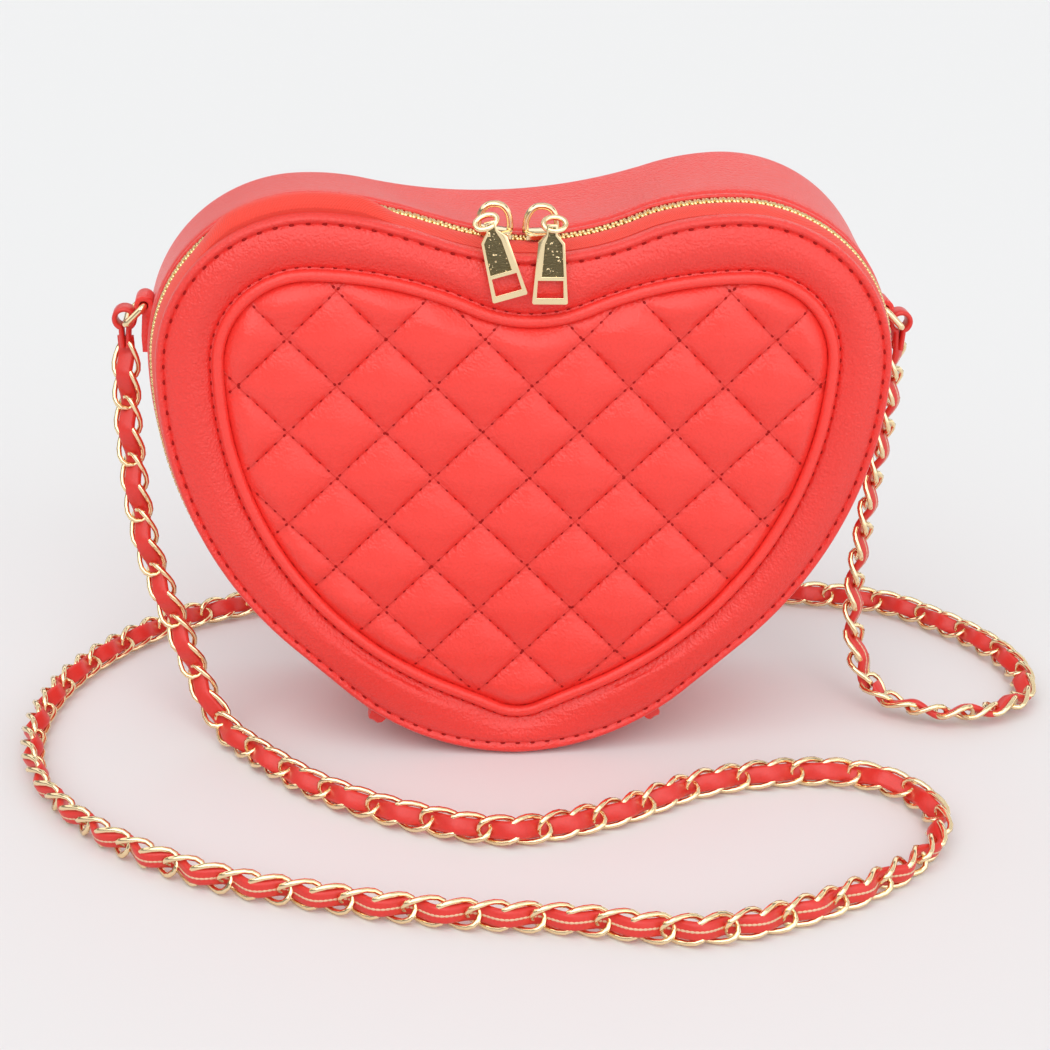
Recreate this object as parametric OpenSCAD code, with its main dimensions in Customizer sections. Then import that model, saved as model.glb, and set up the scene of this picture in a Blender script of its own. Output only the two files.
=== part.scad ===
// Heart shaped purse: a clamshell bag with a quilted front, a double zip
// and a chain strap woven with leather.
// X runs across the bag, Y from front to back and Z up.
// Heart outlines are drawn in X and Z. A depth is measured back from the
// bag's front face, and a growth is measured outwards, square to the
// front outline.

/* [Bag] */
// Width of the front heart
heart_w = 210; // [190:1:230]
// Height of the front heart
heart_h = 166.5; // [155:0.5:180]
// Depth of the bag from the front face to the back face
bag_depth = 66; // [55:1:80]
// Depth of the dip between the lobes
dip_drop = 12.5; // [10:0.5:15]
// Radius of the lobes, as a share of the two arcs from the dip to a lobe's top
lobe_share = 0.4992; // [0.44:0.01:0.56]
// Radius of the shoulders
shoulder_r = 45; // [40:1:50]
// Radius of the sides, as a share of the widest arc that still meets the tip
side_share = 0.936; // [0.9:0.01:0.98]
// Radius of the blunt tip
tip_r = 75; // [60:1:85]
// Width of the flat on which the tip stands
foot_flat_w = 24; // [16:1:30]

/* [Leather and boards] */
// Thickness of the leather
leather_t = 1.4; // [1:0.1:1.6]
// Thickness of the stiff board in the front and the back
board_t = 2.7; // [2:0.1:3.2]
// Thickness of the stiff board in the gusset
gusset_board_t = 1; // [0.8:0.1:1.4]
// Thickness of the lining
lining_t = 0.6; // [0.4:0.1:0.8]
// Width of the rolled edge round the front and the back
roll_w = 3; // [2.4:0.1:3.6]
// Growth of the bottom leather's outer face past the front outline
bottom_out = 0.6; // [0.4:0.1:0.8]
// Width of the seam allowances inside
seam_w = 4; // [3.4:0.1:5]

/* [Quilted heart] */
// Distance from the side of the front to the side of the quilted heart
pad_side_gap = 19.5; // [17:0.5:22]
// Distance from the top of the front to the top of the quilted heart
pad_top_gap = 19; // [18:0.5:21]
// Distance from the tip of the front to the tip of the quilted heart
pad_tip_gap = 16; // [14:0.5:19]
// Depth of the dip in the quilted heart
pad_drop = 13; // [11:0.5:14]
// Radius of the quilted lobes, as a share of the arcs from their dip to their tops
pad_lobe_share = 0.7238; // [0.66:0.01:0.78]
// Radius of the quilted shoulders
pad_shoulder_r = 24; // [22:1:27]
// Radius of the quilted sides, as a share of the widest arc that still meets the tip
pad_side_share = 0.983; // [0.95:0.01:0.99]
// Radius of the quilted tip
pad_tip_r = 14; // [11:1:18]
// Height of the puffs in front of the front face
pad_crown = 3.6; // [3.5:0.1:4.2]
// Distance between stitch crossings, corner to corner of a diamond
quilt_pitch = 27.5; // [24:0.5:31]
// Height of a stitch crossing on the middle line above the tip
quilt_z = 117; // [110:0.5:122]
// Depth of the sewn channels under the puffs
channel_t = 2.4; // [1.6:0.1:2.8]
// Diameter of the piping round the quilted heart
piping_d = 2.6; // [2.2:0.1:3]

/* [Zip] */
// Distance from the front face to the middle of the zip
zip_depth = 12; // [11.5:0.5:14]
// Half the width of the bag's bottom, between the two ends of the zip
zip_end_x = 45; // [38:1:50]
// Gap between the front outline and the tapes
tape_gap = 0.1; // [0.1:0.1:0.3]
// Thickness of the tapes
tape_t = 0.7; // [0.5:0.1:0.8]
// Distance between the teeth of one row
tooth_pitch = 2.4; // [2.2:0.1:3]
// Length of a tooth along the zip
tooth_l = 1.3; // [1:0.1:1.6]
// Width of a row of teeth
tooth_w = 1.2; // [1:0.1:1.3]
// Thickness of the teeth
tooth_t = 2.3; // [2:0.1:2.4]
// Gap between the two rows of teeth
row_gap = 1; // [0.9:0.1:1.2]

/* [Sliders] */
// Length of a slider along the zip
slider_l = 13; // [11:0.1:13.4]
// Width of a slider across the zip
slider_w = 8; // [7.6:0.1:8.2]
// Thickness of a slider's plates
plate_t = 1; // [0.8:0.1:1.1]
// Gap between the teeth and the upper plate
slider_play = 0.5; // [0.4:0.1:0.6]
// Gap between the teeth and the lower plate
lower_play = 0.6; // [0.5:0.1:0.8]
// Thickness of the wedge between the rows of teeth
wedge_t = 0.5; // [0.4:0.1:0.5]
// Length of the wedge
wedge_l = 3; // [2:0.1:4]
// Depth of the lips that turn in over the front tape
lip_t = 0.7; // [0.5:0.1:0.8]
// Place where the two sliders meet, from the middle line
meet_x = -3.5; // [-5:0.5:0]
// Diameter of the bail's wire
bail_d = 1.5; // [1.3:0.1:1.6]
// Height of the bail's bar over the upper plate
bail_h = 7.7; // [7.2:0.1:8.2]
// Distance between the bail's posts
bail_l = 9.6; // [9:0.1:10]
// Radius of the bail's corners
bail_corner_r = 1.5; // [1:0.1:1.6]

/* [Pulls] */
// Length of a pull's blade
blade_l = 18; // [16:0.5:19]
// Width of the blade at its end
blade_w = 10; // [9:0.5:10]
// Width of the blade at its shoulders
blade_top_w = 8; // [7:0.5:8.5]
// Height of the sloped shoulders
shoulder_l = 2.2; // [1.6:0.1:3]
// Size of the corners cut off the blade's end
blade_corner = 0.8; // [0.4:0.1:1.2]
// Thickness of a pull
pull_t = 1.2; // [1:0.1:1.3]
// Width of a pull's neck
neck_w = 3; // [2.6:0.1:3.2]
// Drop of the neck from the bail to the bend
neck_drop = 6.6; // [6:0.1:7]
// Clearance of the eye round the bail
eye_play = 0.7; // [0.6:0.1:0.8]
// Wall of the eye
eye_wall = 1; // [0.8:0.1:1.2]
// Gap between the blade and the front
pull_gap = 0.4; // [0.3:0.1:0.5]
// Forward lean of the blade
blade_lean = 5; // [3:0.5:5]
// Distance of a pull's eye from the middle of its bail, outwards
pull_offset = 1.4; // [1:0.1:1.5]
// Sideways tilt of the left pull
left_pull_tilt = 13; // [8:1:14]
// Width of the window in the blade
window_w = 7; // [6:0.1:7.2]
// Height of the window
window_h = 5.2; // [4.6:0.1:5.6]
// Width of the bar under the window
window_foot = 2.2; // [1.8:0.1:2.6]
// Width of the rim round the blade's panel
rim_w = 1.1; // [0.8:0.1:1.4]
// Depth of the blade's panel
panel_t = 0.25; // [0.2:0.05:0.35]

/* [Rings] */
// Diameter of the ring's wire
ring_wire_d = 2; // [1.8:0.1:2.2]
// Inner width of a ring
ring_w = 10; // [9.8:0.1:11]
// Distance between the middles of a ring's two long bars
ring_l = 7.5; // [7:0.1:9]
// Radius of a ring's corners
ring_corner_r = 1.2; // [1.2:0.1:1.3]
// Lean of the ring out from hanging straight down
ring_lean = 45; // [40:1:50]
// Angle that the ring can swing up
ring_swing = 12; // [8:1:14]
// Distance from the front face to the middle of a ring
ring_depth = 36; // [32:1:40]
// Angle of the ring's seat up the shoulder
ring_seat_angle = 10.5; // [8:0.5:14]
// Width of the leather tab that holds a ring
ring_tab_w = 9; // [8.4:0.1:9.2]
// Length of the tab below the ring
ring_tab_l = 14; // [12:1:20]

/* [Strap and end tabs] */
// Diameter of the strap, over the chain
strap_d = 8; // [7:0.5:8]
// Width of the strap's leather strip
strip_w = 6; // [5:0.5:6]
// Thickness of the leather strip
strip_t = 1.5; // [1.2:0.1:1.6]
// Length of the strip's tail under the ring
strap_tail = 2; // [1.5:0.5:4]
// Length of the tabs over the ends of the zip
end_tab_l = 9; // [7:0.5:12]
// Width of the tabs over the ends of the zip
end_tab_w = 9; // [8:0.5:12]

/* [Hidden] */

// Leather, lining, tape, board and metal, as the bag shows them
leather_color = [0.80, 0.07, 0.06];
lining_color = [0.55, 0.05, 0.07];
tape_color = [0.88, 0.10, 0.05];
board_color = [0.72, 0.68, 0.60];
gold_color = [0.90, 0.74, 0.42];

// Gap between pieces that move past each other, and at the zip's ends
gap = 0.3;
end_gap = 0.4;
// Sides of a whole circle, for wires and for the sliders' wide arcs
wire_fn = 32;
wide_fn = 240;

// The front face's place, so that the bag stands over the middle of its depth
front_y = -(bag_depth - pad_crown) / 2;
// The front heart's tip is lifted so that the cut bottom stands on the floor
foot_r = tip_r + bottom_out;
heart_lift = bottom_out - foot_r + sqrt(foot_r * foot_r - foot_flat_w * foot_flat_w / 4);

// Depths of the layers of the front
band_t0 = gap;
band_t1 = band_t0 + leather_t;
board_t1 = band_t1 + board_t;
roll_t = board_t1 + lining_t;
// Depths of the layers of the back
back_roll_t0 = bag_depth - roll_t;
back_lining_t1 = back_roll_t0 + lining_t;
back_board_t1 = back_lining_t1 + board_t;
back_panel_t1 = back_board_t1 + leather_t;

// Growths of the tapes, the teeth and the wall behind the zip
tape_g1 = tape_gap + tape_t;
tooth_g = tape_gap + tape_t / 2;
gusset_out = tape_g1 + leather_t;
// Depths at which the rows of teeth begin and end
front_row_t1 = zip_depth - row_gap / 2;
front_row_t0 = front_row_t1 - tooth_w;
rear_row_t0 = zip_depth + row_gap / 2;
rear_row_t1 = rear_row_t0 + tooth_w;
// Depths of the sliders, and of the gusset just behind them
slider_t0 = zip_depth - slider_w / 2;
slider_t1 = zip_depth + slider_w / 2;
gusset_t0 = slider_t1 + gap;
// The gusset's thinned edge, which is turned over the rear tape
thinned_edge_share = 0.7;
turned_edge_t0 = rear_row_t1 + gap;
turned_edge_g = tape_g1 + leather_t * thinned_edge_share;
// Depth of the gusset's seam on the back, and of the space that is stiffened
seam_t0 = back_roll_t0 - leather_t / 2;
inner_t0 = gusset_t0 + 2 * gap;

// A heart is its width, top, tip height and dip, the share of its lobes, the radius
// of its shoulders, the share of its sides and the radius of its tip
bag_heart = [heart_w, heart_h, 0, dip_drop, lobe_share, shoulder_r, side_share, tip_r];
pad_w = heart_w - 2 * pad_side_gap;
pad_heart = [pad_w, heart_h - pad_top_gap, pad_tip_gap, pad_drop, pad_lobe_share,
    pad_shoulder_r, pad_side_share, pad_tip_r];

// Steps on each arc of half a heart: dip, lobe, shoulder, side and tip
arc_steps = [5, 5, 13, 9, 8];

function arc(centre, r, a0, a1, n) =
    [for (i = [0 : n - 1]) centre + r * [sin(a0 + (a1 - a0) * i / n), cos(a0 + (a1 - a0) * i / n)]];

// Distance between the centres of the dip circle and the lobe circle, which touch
function reach(h) = let (x = h[0] / 2 - h[5]) (x * x + h[3] * h[3]) / (2 * h[3]);
function lobe_radius(h) = h[4] * reach(h);
function dip_radius(h) = reach(h) - lobe_radius(h);
function dip_centre_z(h) = h[1] - h[3] + dip_radius(h);
// Radius of the side circle, which touches the shoulder and the flank above the tip
function side_radius(h) =
    let (x = h[0] / 2, z = h[1] - h[2] - h[5] - h[7])
    h[6] * (x * x + z * z - h[7] * h[7]) / (h[0] - 2 * h[7]);

// Right half of a heart, grown outwards by g, from the dip to the tip
function half_heart(h, g) =
    let (
        lobe_x = h[0] / 2 - h[5],
        turn = asin(lobe_x / reach(h)),
        lobe = lobe_radius(h),
        side = side_radius(h),
        side_c = [h[0] / 2 - side, h[1] - h[5]],
        tip_c = [0, h[2] + h[7]],
        run = tip_c - side_c,
        meet = 90 + atan2(-run[1], run[0]) - acos((side - h[7]) / norm(run))
    )
    concat(
        arc([0, dip_centre_z(h)], dip_radius(h) - g, 180, 180 - turn, arc_steps[0]),
        arc([lobe_x, h[1] - lobe], lobe + g, -turn, 0, arc_steps[1]),
        arc([lobe_x, h[1] - h[5]], h[5] + g, 0, 90, arc_steps[2]),
        arc(side_c, side + g, 90, meet, arc_steps[3]),
        arc(tip_c, h[7] + g, meet, 180, arc_steps[4]),
        [tip_c - [0, h[7] + g]]
    );

// Whole heart, clockwise from the dip
function heart(h, g) =
    let (half = half_heart(h, g), last = len(half) - 1)
    concat(half, [for (i = [last - 1 : -1 : 1]) [-half[i][0], half[i][1]]]);

// Extrudes an outline drawn in X and Z from one depth to another
module slab(t0, t1) {
    translate([0, front_y + t1, heart_lift])
        rotate([90, 0, 0])
            linear_extrude(t1 - t0)
                children();
}

// A plate with the outline of a heart grown by g
module heart_slab(h, g, t0, t1) {
    slab(t0, t1)
        polygon(heart(h, g));
}

// A wall that follows the bag's outline between two growths
module heart_wall(g0, g1, t0, t1) {
    slab(t0, t1)
        difference() {
            polygon(heart(bag_heart, g1));
            polygon(heart(bag_heart, g0));
        }
}

// The lower middle of the bag, where the bottom lies between the zip's ends
module bottom_zone(half_w) {
    translate([-half_w, front_y - bag_depth, -heart_h / 2])
        cube([2 * half_w, 3 * bag_depth, heart_h]);
}

// Everything below the surface that the bag stands on
module below_floor() {
    translate([-heart_w, front_y - bag_depth, -heart_h])
        cube([2 * heart_w, 3 * bag_depth, heart_h]);
}

// A ring along a heart, whose cross-section is a list of growths and depths
module heart_loop(h, section) {
    n = len(heart(h, 0));
    m = len(section);
    points = [for (p = section) for (q = heart(h, p[0])) [q[0], front_y + p[1], heart_lift + q[1]]];
    faces = [for (j = [0 : m - 1]) for (i = [0 : n - 1])
        let (
            a = j * n + i,
            b = j * n + (i + 1) % n,
            c = ((j + 1) % m) * n + (i + 1) % n,
            d = ((j + 1) % m) * n + i
        )
        each [[a, c, b], [a, d, c]]];
    polyhedron(points, faces, convexity = 4);
}

// Outer corner of a rolled edge, as shares of the roll's width and depth
roll_shares = [[0, 0.5], [0.08, 0.3], [0.28, 0.1], [0.55, 0], [1, 0.12]];

// Rolled leather edge, square inside and round outside, cut flat to stand
module edge_roll(t_face, t_inner) {
    depth = t_inner - t_face;
    section = concat(
        [[-roll_w, t_inner], [0, t_inner]],
        [for (c = roll_shares) [-roll_w * c[0], t_face + depth * c[1]]]
    );
    last = len(section) - 1;
    difference() {
        heart_loop(bag_heart, depth < 0 ? section : [for (i = [last : -1 : 0]) section[i]]);
        below_floor();
    }
}

module front_edge_roll() {
    color(leather_color)
        edge_roll(0, roll_t);
}

module back_edge_roll() {
    color(leather_color)
        edge_roll(bag_depth, back_roll_t0);
}

module front_band() {
    color(leather_color)
        slab(band_t0, band_t1)
            difference() {
                polygon(heart(bag_heart, -roll_w));
                polygon(heart(pad_heart, piping_d));
            }
}

// Sides of the piping's round section
piping_sides = 8;

module inner_piping() {
    r = piping_d / 2;
    section = [for (i = [0 : piping_sides - 1])
        [r - r * sin(i * 360 / piping_sides), band_t1 - r + r * cos(i * 360 / piping_sides)]];
    color(leather_color)
        heart_loop(pad_heart, section);
}

// Side of a sewn diamond, and the steps of the mesh across it
diamond_side = quilt_pitch / sqrt(2);
diamond_steps = 4;
// Height of the puff at each step across a diamond
puff_shares = [0, 0.72, 1, 0.72];
// Diamonds from the middle crossing to the edge of the mesh
diamond_reach = ceil(heart_w / diamond_side / 2) + 1;

// Block whose front is sewn in diamonds: puffs between two sets of seams
module quilt_block() {
    n = 2 * diamond_reach * diamond_steps;
    row = n + 1;
    step = diamond_side / diamond_steps;
    function place(i, j, t) = let (u = (i - n / 2) * step, v = (j - n / 2) * step)
        [(u - v) / sqrt(2), front_y + t, heart_lift + quilt_z + (u + v) / sqrt(2)];
    sewn = [for (j = [0 : n]) for (i = [0 : n])
        place(i, j, channel_t * (1 - puff_shares[i % diamond_steps] * puff_shares[j % diamond_steps])
            - pad_crown)];
    back = [for (c = [[0, 0], [n, 0], [n, n], [0, n]]) place(c[0], c[1], band_t1)];
    base = row * row;
    front_faces = [for (j = [0 : n - 1]) for (i = [0 : n - 1])
        let (a = j * row + i)
        each [[a, a + row + 1, a + 1], [a, a + row, a + row + 1]]];
    walls = [
        concat([for (i = [0 : n]) i], [base + 1, base]),
        concat([for (j = [0 : n]) j * row + n], [base + 2, base + 1]),
        concat([for (i = [n : -1 : 0]) n * row + i], [base + 3, base + 2]),
        concat([for (j = [n : -1 : 0]) j * row], [base, base + 3]),
        [base, base + 1, base + 2, base + 3]
    ];
    polyhedron(concat(sewn, back), concat(front_faces, walls), convexity = 10);
}

// Crown of the pad: distance in from the edge, and height, in shares of its height
crown_shares = [[0, 0], [0, 0.42], [1.5, 1.02]];

// Crowned form of the pad, drawn in at its edge
module pad_crown_form() {
    height = pad_crown + band_t1;
    n = len(heart(pad_heart, 0));
    m = len(crown_shares);
    points = [for (c = crown_shares) for (q = heart(pad_heart, -pad_crown * c[0]))
        [q[0], front_y + band_t1 - height * c[1], heart_lift + q[1]]];
    sides = [for (j = [0 : m - 2]) for (i = [0 : n - 1])
        let (a = j * n + i, b = j * n + (i + 1) % n)
        each [[a, b, b + n], [a, b + n, a + n]]];
    back = [for (i = [n - 1 : -1 : 0]) i];
    front = [for (i = [0 : n - 1]) (m - 1) * n + i];
    polyhedron(points, concat(sides, [back], [front]), convexity = 6);
}

module quilted_pad() {
    color(leather_color)
        resize([pad_w, 0, 0])
            intersection() {
                quilt_block();
                pad_crown_form();
            }
}

module front_board() {
    color(board_color)
        heart_slab(bag_heart, -roll_w, band_t1, board_t1);
}

module front_lining() {
    color(lining_color)
        heart_slab(bag_heart, -roll_w, board_t1, roll_t);
}

module front_zip_tape() {
    color(tape_color)
        difference() {
            union() {
                heart_wall(-seam_w, tape_g1, roll_t, roll_t + tape_t);
                heart_wall(tape_gap, tape_g1, roll_t, front_row_t0);
            }
            bottom_zone(zip_end_x + end_gap);
        }
}

module rear_zip_tape() {
    color(tape_color)
        difference() {
            heart_wall(tape_gap, tape_g1, rear_row_t1, gusset_t0 + gap);
            bottom_zone(zip_end_x);
        }
}

// Lengths along the middle of the tapes, for placing the teeth
tooth_path = half_heart(bag_heart, tooth_g);
function lengths(p, i = 1, sum = 0, out = [0]) =
    i == len(p) ? out :
    let (next = sum + norm(p[i] - p[i - 1]))
    lengths(p, i + 1, next, concat(out, [next]));
path_s = lengths(tooth_path);
path_x = [for (i = [0 : len(path_s) - 1]) [path_s[i], tooth_path[i][0]]];
path_z = [for (i = [0 : len(path_s) - 1]) [path_s[i], tooth_path[i][1]]];

// One row of teeth, from one end of the zip over the top to its other end
module teeth_row(t0) {
    for (s = [tooth_pitch / 2 : tooth_pitch : path_s[len(path_s) - 1]]) {
        x = lookup(s, path_x);
        z = lookup(s, path_z);
        ahead = s + tooth_l / 2;
        slope = atan2(lookup(ahead, path_z) - z, lookup(ahead, path_x) - x);
        if (z > heart_h / 2 || x > zip_end_x + end_gap + tooth_l)
            for (side = [0, 1])
                mirror([side, 0, 0])
                    translate([x, front_y + t0, heart_lift + z])
                        rotate([0, -slope, 0])
                            translate([-tooth_l / 2, 0, -tooth_t / 2])
                                cube([tooth_l, tooth_w, tooth_t]);
    }
}

module front_zip_teeth() {
    color(gold_color)
        teeth_row(front_row_t0);
}

module rear_zip_teeth() {
    color(gold_color)
        teeth_row(rear_row_t0);
}

module rear_gusset() {
    color(leather_color)
        difference() {
            union() {
                heart_wall(tape_g1, gusset_out, gusset_t0, back_roll_t0);
                heart_wall(tape_g1, turned_edge_g, turned_edge_t0, gusset_t0);
                heart_wall(-seam_w, gusset_out, seam_t0, back_roll_t0);
            }
            bottom_zone(zip_end_x);
        }
}

// Growths of the layers of the bottom
bottom_in = bottom_out - leather_t;
bottom_board_in = bottom_in - gusset_board_t;

module bottom_gusset() {
    color(leather_color)
        difference() {
            intersection() {
                union() {
                    heart_wall(bottom_in, bottom_out, roll_t + gap, back_roll_t0);
                    heart_wall(-seam_w, bottom_out, seam_t0, back_roll_t0);
                }
                bottom_zone(zip_end_x);
            }
            below_floor();
        }
}

module bottom_board() {
    color(board_color)
        intersection() {
            heart_wall(bottom_board_in, bottom_in, inner_t0, seam_t0);
            bottom_zone(zip_end_x);
        }
}

module bottom_lining() {
    color(lining_color)
        intersection() {
            heart_wall(bottom_board_in - lining_t, bottom_board_in, inner_t0, seam_t0);
            bottom_zone(zip_end_x);
        }
}

module gusset_board() {
    color(board_color)
        difference() {
            heart_wall(tape_g1 - gusset_board_t, tape_g1, inner_t0, seam_t0);
            bottom_zone(zip_end_x);
        }
}

module gusset_lining() {
    color(lining_color)
        difference() {
            heart_wall(tape_g1 - gusset_board_t - lining_t, tape_g1 - gusset_board_t, inner_t0, seam_t0);
            bottom_zone(zip_end_x);
        }
}

module back_lining() {
    color(lining_color)
        heart_slab(bag_heart, -roll_w, back_roll_t0, back_lining_t1);
}

module back_board() {
    color(board_color)
        heart_slab(bag_heart, -roll_w, back_lining_t1, back_board_t1);
}

module back_panel() {
    color(leather_color)
        heart_slab(bag_heart, -roll_w, back_board_t1, back_panel_t1);
}

// Right-hand pieces are drawn, and left-hand ones are their mirror images
module on_side(left) {
    mirror([left ? 1 : 0, 0, 0])
        children();
}

// Leather tab on the bottom, just inside an end of the zip
module zip_end_tab(left) {
    color(leather_color)
        on_side(left)
            intersection() {
                heart_wall(bottom_out, bottom_out + leather_t, zip_depth - end_tab_w / 2,
                    zip_depth + end_tab_w / 2);
                translate([zip_end_x - end_gap - end_tab_l, front_y, -heart_h / 2])
                    cube([end_tab_l, bag_depth, heart_h]);
            }
}

module left_zip_end_tab() {
    zip_end_tab(true);
}

module right_zip_end_tab() {
    zip_end_tab(false);
}

// The sliders ride on the dip's arc
dip_r = dip_radius(bag_heart);
dip_z = heart_lift + dip_centre_z(bag_heart);
upper_g0 = max(tooth_g + tooth_t / 2 + slider_play, turned_edge_g + gap);
upper_g1 = upper_g0 + plate_t;
lower_g1 = tooth_g - tooth_t / 2 - lower_play;
lower_g0 = lower_g1 - plate_t;
// Depth of the lips past the plates, which leaves this gap to the front tape
lip_gap = 0.4;

// Places of the two sliders' middles, and their angles on the arc from straight down
function slider_x(left) = meet_x + (left ? -1 : 1) * (slider_l + gap) / 2;
function slider_angle(left) = asin(slider_x(left) / dip_r);
// Height of the bail's bar
function bar_z(left) = dip_z - (dip_r - upper_g1) * cos(slider_angle(left)) + bail_h;

// A piece of a ring about the dip's centre, middled on an angle and of a given length
module dip_piece(g0, g1, t0, t1, middle, l) {
    sweep = l / dip_r * 180 / PI;
    translate([0, front_y, dip_z])
        rotate([90, 0, 0])
            rotate([0, 0, middle - sweep / 2 - 90])
                rotate_extrude(angle = sweep, $fn = wide_fn)
                    translate([dip_r - g1, -t1])
                        square([g1 - g0, t1 - t0]);
}

// Outline of the bail over one half of the slider, in X and Z, grown by g
module bail_outline(x, top_z, foot_z, g) {
    half = bail_l / 2 + g;
    r = bail_corner_r + g;
    translate([x - half, foot_z])
        square([2 * half, top_z + g - r - foot_z]);
    translate([x - half + r, foot_z])
        square([2 * (half - r), top_z + g - foot_z]);
    for (side = [-1, 1])
        translate([x + side * (half - r), top_z + g - r])
            circle(r, $fn = wire_fn);
}

// Arch over the slider, on two posts that end inside the upper plate
module bail(left) {
    x = slider_x(left);
    root_r = dip_r - upper_g0 - plate_t / 2;
    outer_x = abs(x) + bail_l / 2;
    foot_z = dip_z - sqrt(root_r * root_r - outer_x * outer_x);
    translate([0, front_y + zip_depth + bail_d / 2, 0])
        rotate([90, 0, 0])
            linear_extrude(bail_d)
                difference() {
                    bail_outline(x, bar_z(left), foot_z, bail_d / 2);
                    bail_outline(x, bar_z(left), foot_z - bail_d, -bail_d / 2);
                }
}

module slider(left) {
    middle = slider_angle(left);
    color(gold_color) {
        dip_piece(upper_g0, upper_g1, slider_t0, slider_t1, middle, slider_l);
        dip_piece(lower_g0, lower_g1, slider_t0, slider_t1, middle, slider_l);
        dip_piece(lower_g0, upper_g1, zip_depth - wedge_t / 2, zip_depth + wedge_t / 2, middle, wedge_l);
        dip_piece(tape_g1 + lip_gap, upper_g1, slider_t0, slider_t0 + lip_t, middle, slider_l);
        dip_piece(lower_g0, tape_gap - lip_gap, slider_t0, slider_t0 + lip_t, middle, slider_l);
        bail(left);
    }
}

module left_slider() {
    slider(true);
}

module right_slider() {
    slider(false);
}

// The pull's eye, and the neck's run from the bail to the bend in front of the bag
eye_bore = bail_d + 2 * eye_play;
eye_d = eye_bore + 2 * eye_wall;
neck_run = zip_depth + pull_gap + pull_t / 2;
neck_l = norm([neck_run, neck_drop]);
neck_angle = atan(neck_drop / neck_run);

// Outline of the blade below the bend, in X and Z
module blade_outline() {
    top = blade_top_w / 2;
    end = blade_w / 2;
    polygon([
        [-neck_w / 2, 0], [neck_w / 2, 0], [top, -shoulder_l],
        [end, blade_corner - blade_l], [end - blade_corner, -blade_l],
        [blade_corner - end, -blade_l], [-end, blade_corner - blade_l], [-top, -shoulder_l]
    ]);
}

// The blade's window, and the panel between it and the shoulders
module blade_window() {
    translate([-window_w / 2, window_foot - blade_l])
        square([window_w, window_h]);
}

module blade_panel() {
    low = window_foot + window_h + rim_w - blade_l;
    half = blade_top_w / 2 - rim_w;
    polygon([[-half, low], [half, low], [half, -shoulder_l - rim_w / 2], [-half, -shoulder_l - rim_w / 2]]);
}

module pull(left) {
    side = left ? -1 : 1;
    color(gold_color)
        translate([slider_x(left) + side * pull_offset, front_y + zip_depth, bar_z(left)])
            rotate([0, left ? -left_pull_tilt : 0, 0])
                difference() {
                    union() {
                        rotate([0, 90, 0])
                            cylinder(d = eye_d, h = neck_w, center = true, $fn = wire_fn);
                        rotate([neck_angle, 0, 0])
                            translate([-neck_w / 2, -neck_l, -pull_t / 2])
                                cube([neck_w, neck_l, pull_t]);
                        translate([0, -neck_run, -neck_drop])
                            rotate([0, 90, 0])
                                cylinder(d = pull_t, h = neck_w, center = true, $fn = wire_fn);
                        translate([0, -neck_run, -neck_drop])
                            rotate([90 - blade_lean, 0, 0])
                                translate([0, 0, -pull_t / 2])
                                    difference() {
                                        linear_extrude(pull_t)
                                            difference() {
                                                blade_outline();
                                                blade_window();
                                            }
                                        translate([0, 0, pull_t - panel_t])
                                            linear_extrude(pull_t)
                                                blade_panel();
                                    }
                    }
                    rotate([0, 90, 0])
                        cylinder(d = eye_bore, h = 2 * neck_w, center = true, $fn = wire_fn);
                }
}

module left_pull() {
    pull(true);
}

module right_pull() {
    pull(false);
}

// The ring's seat on the shoulder: a leather loop round one bar of the ring
seat_bore_d = ring_wire_d + 2 * gap;
seat_d = seat_bore_d + 2 * leather_t;
seat_reach = shoulder_r + gusset_out + seat_d / 2;
seat = [heart_w / 2 - shoulder_r + seat_reach * cos(ring_seat_angle), front_y + ring_depth,
    heart_lift + heart_h - shoulder_r + seat_reach * sin(ring_seat_angle)];
// The ring's outer bar, at rest and swung up, from the seat
function outer_bar(angle) = ring_l * [sin(angle), -cos(angle)];

module ring_tab(left) {
    color(leather_color)
        on_side(left)
            difference() {
                union() {
                    intersection() {
                        heart_wall(gusset_out, gusset_out + 2 * leather_t, ring_depth - ring_tab_w / 2,
                            ring_depth + ring_tab_w / 2);
                        translate([0, front_y, seat[2] - ring_tab_l])
                            cube([heart_w, bag_depth, ring_tab_l]);
                    }
                    translate(seat)
                        rotate([90, 0, 0])
                            cylinder(d = seat_d, h = ring_tab_w, center = true, $fn = wire_fn);
                }
                translate(seat)
                    rotate([90, 0, 0])
                        cylinder(d = seat_bore_d, h = 2 * ring_tab_w, center = true, $fn = wire_fn);
            }
}

module left_ring_tab() {
    ring_tab(true);
}

module right_ring_tab() {
    ring_tab(false);
}

// A quarter of a wire ring, in X and Y
module quarter_bend(r, d) {
    rotate_extrude(angle = 90, $fn = wire_fn)
        translate([r, 0])
            circle(d = d, $fn = wire_fn);
}

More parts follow.
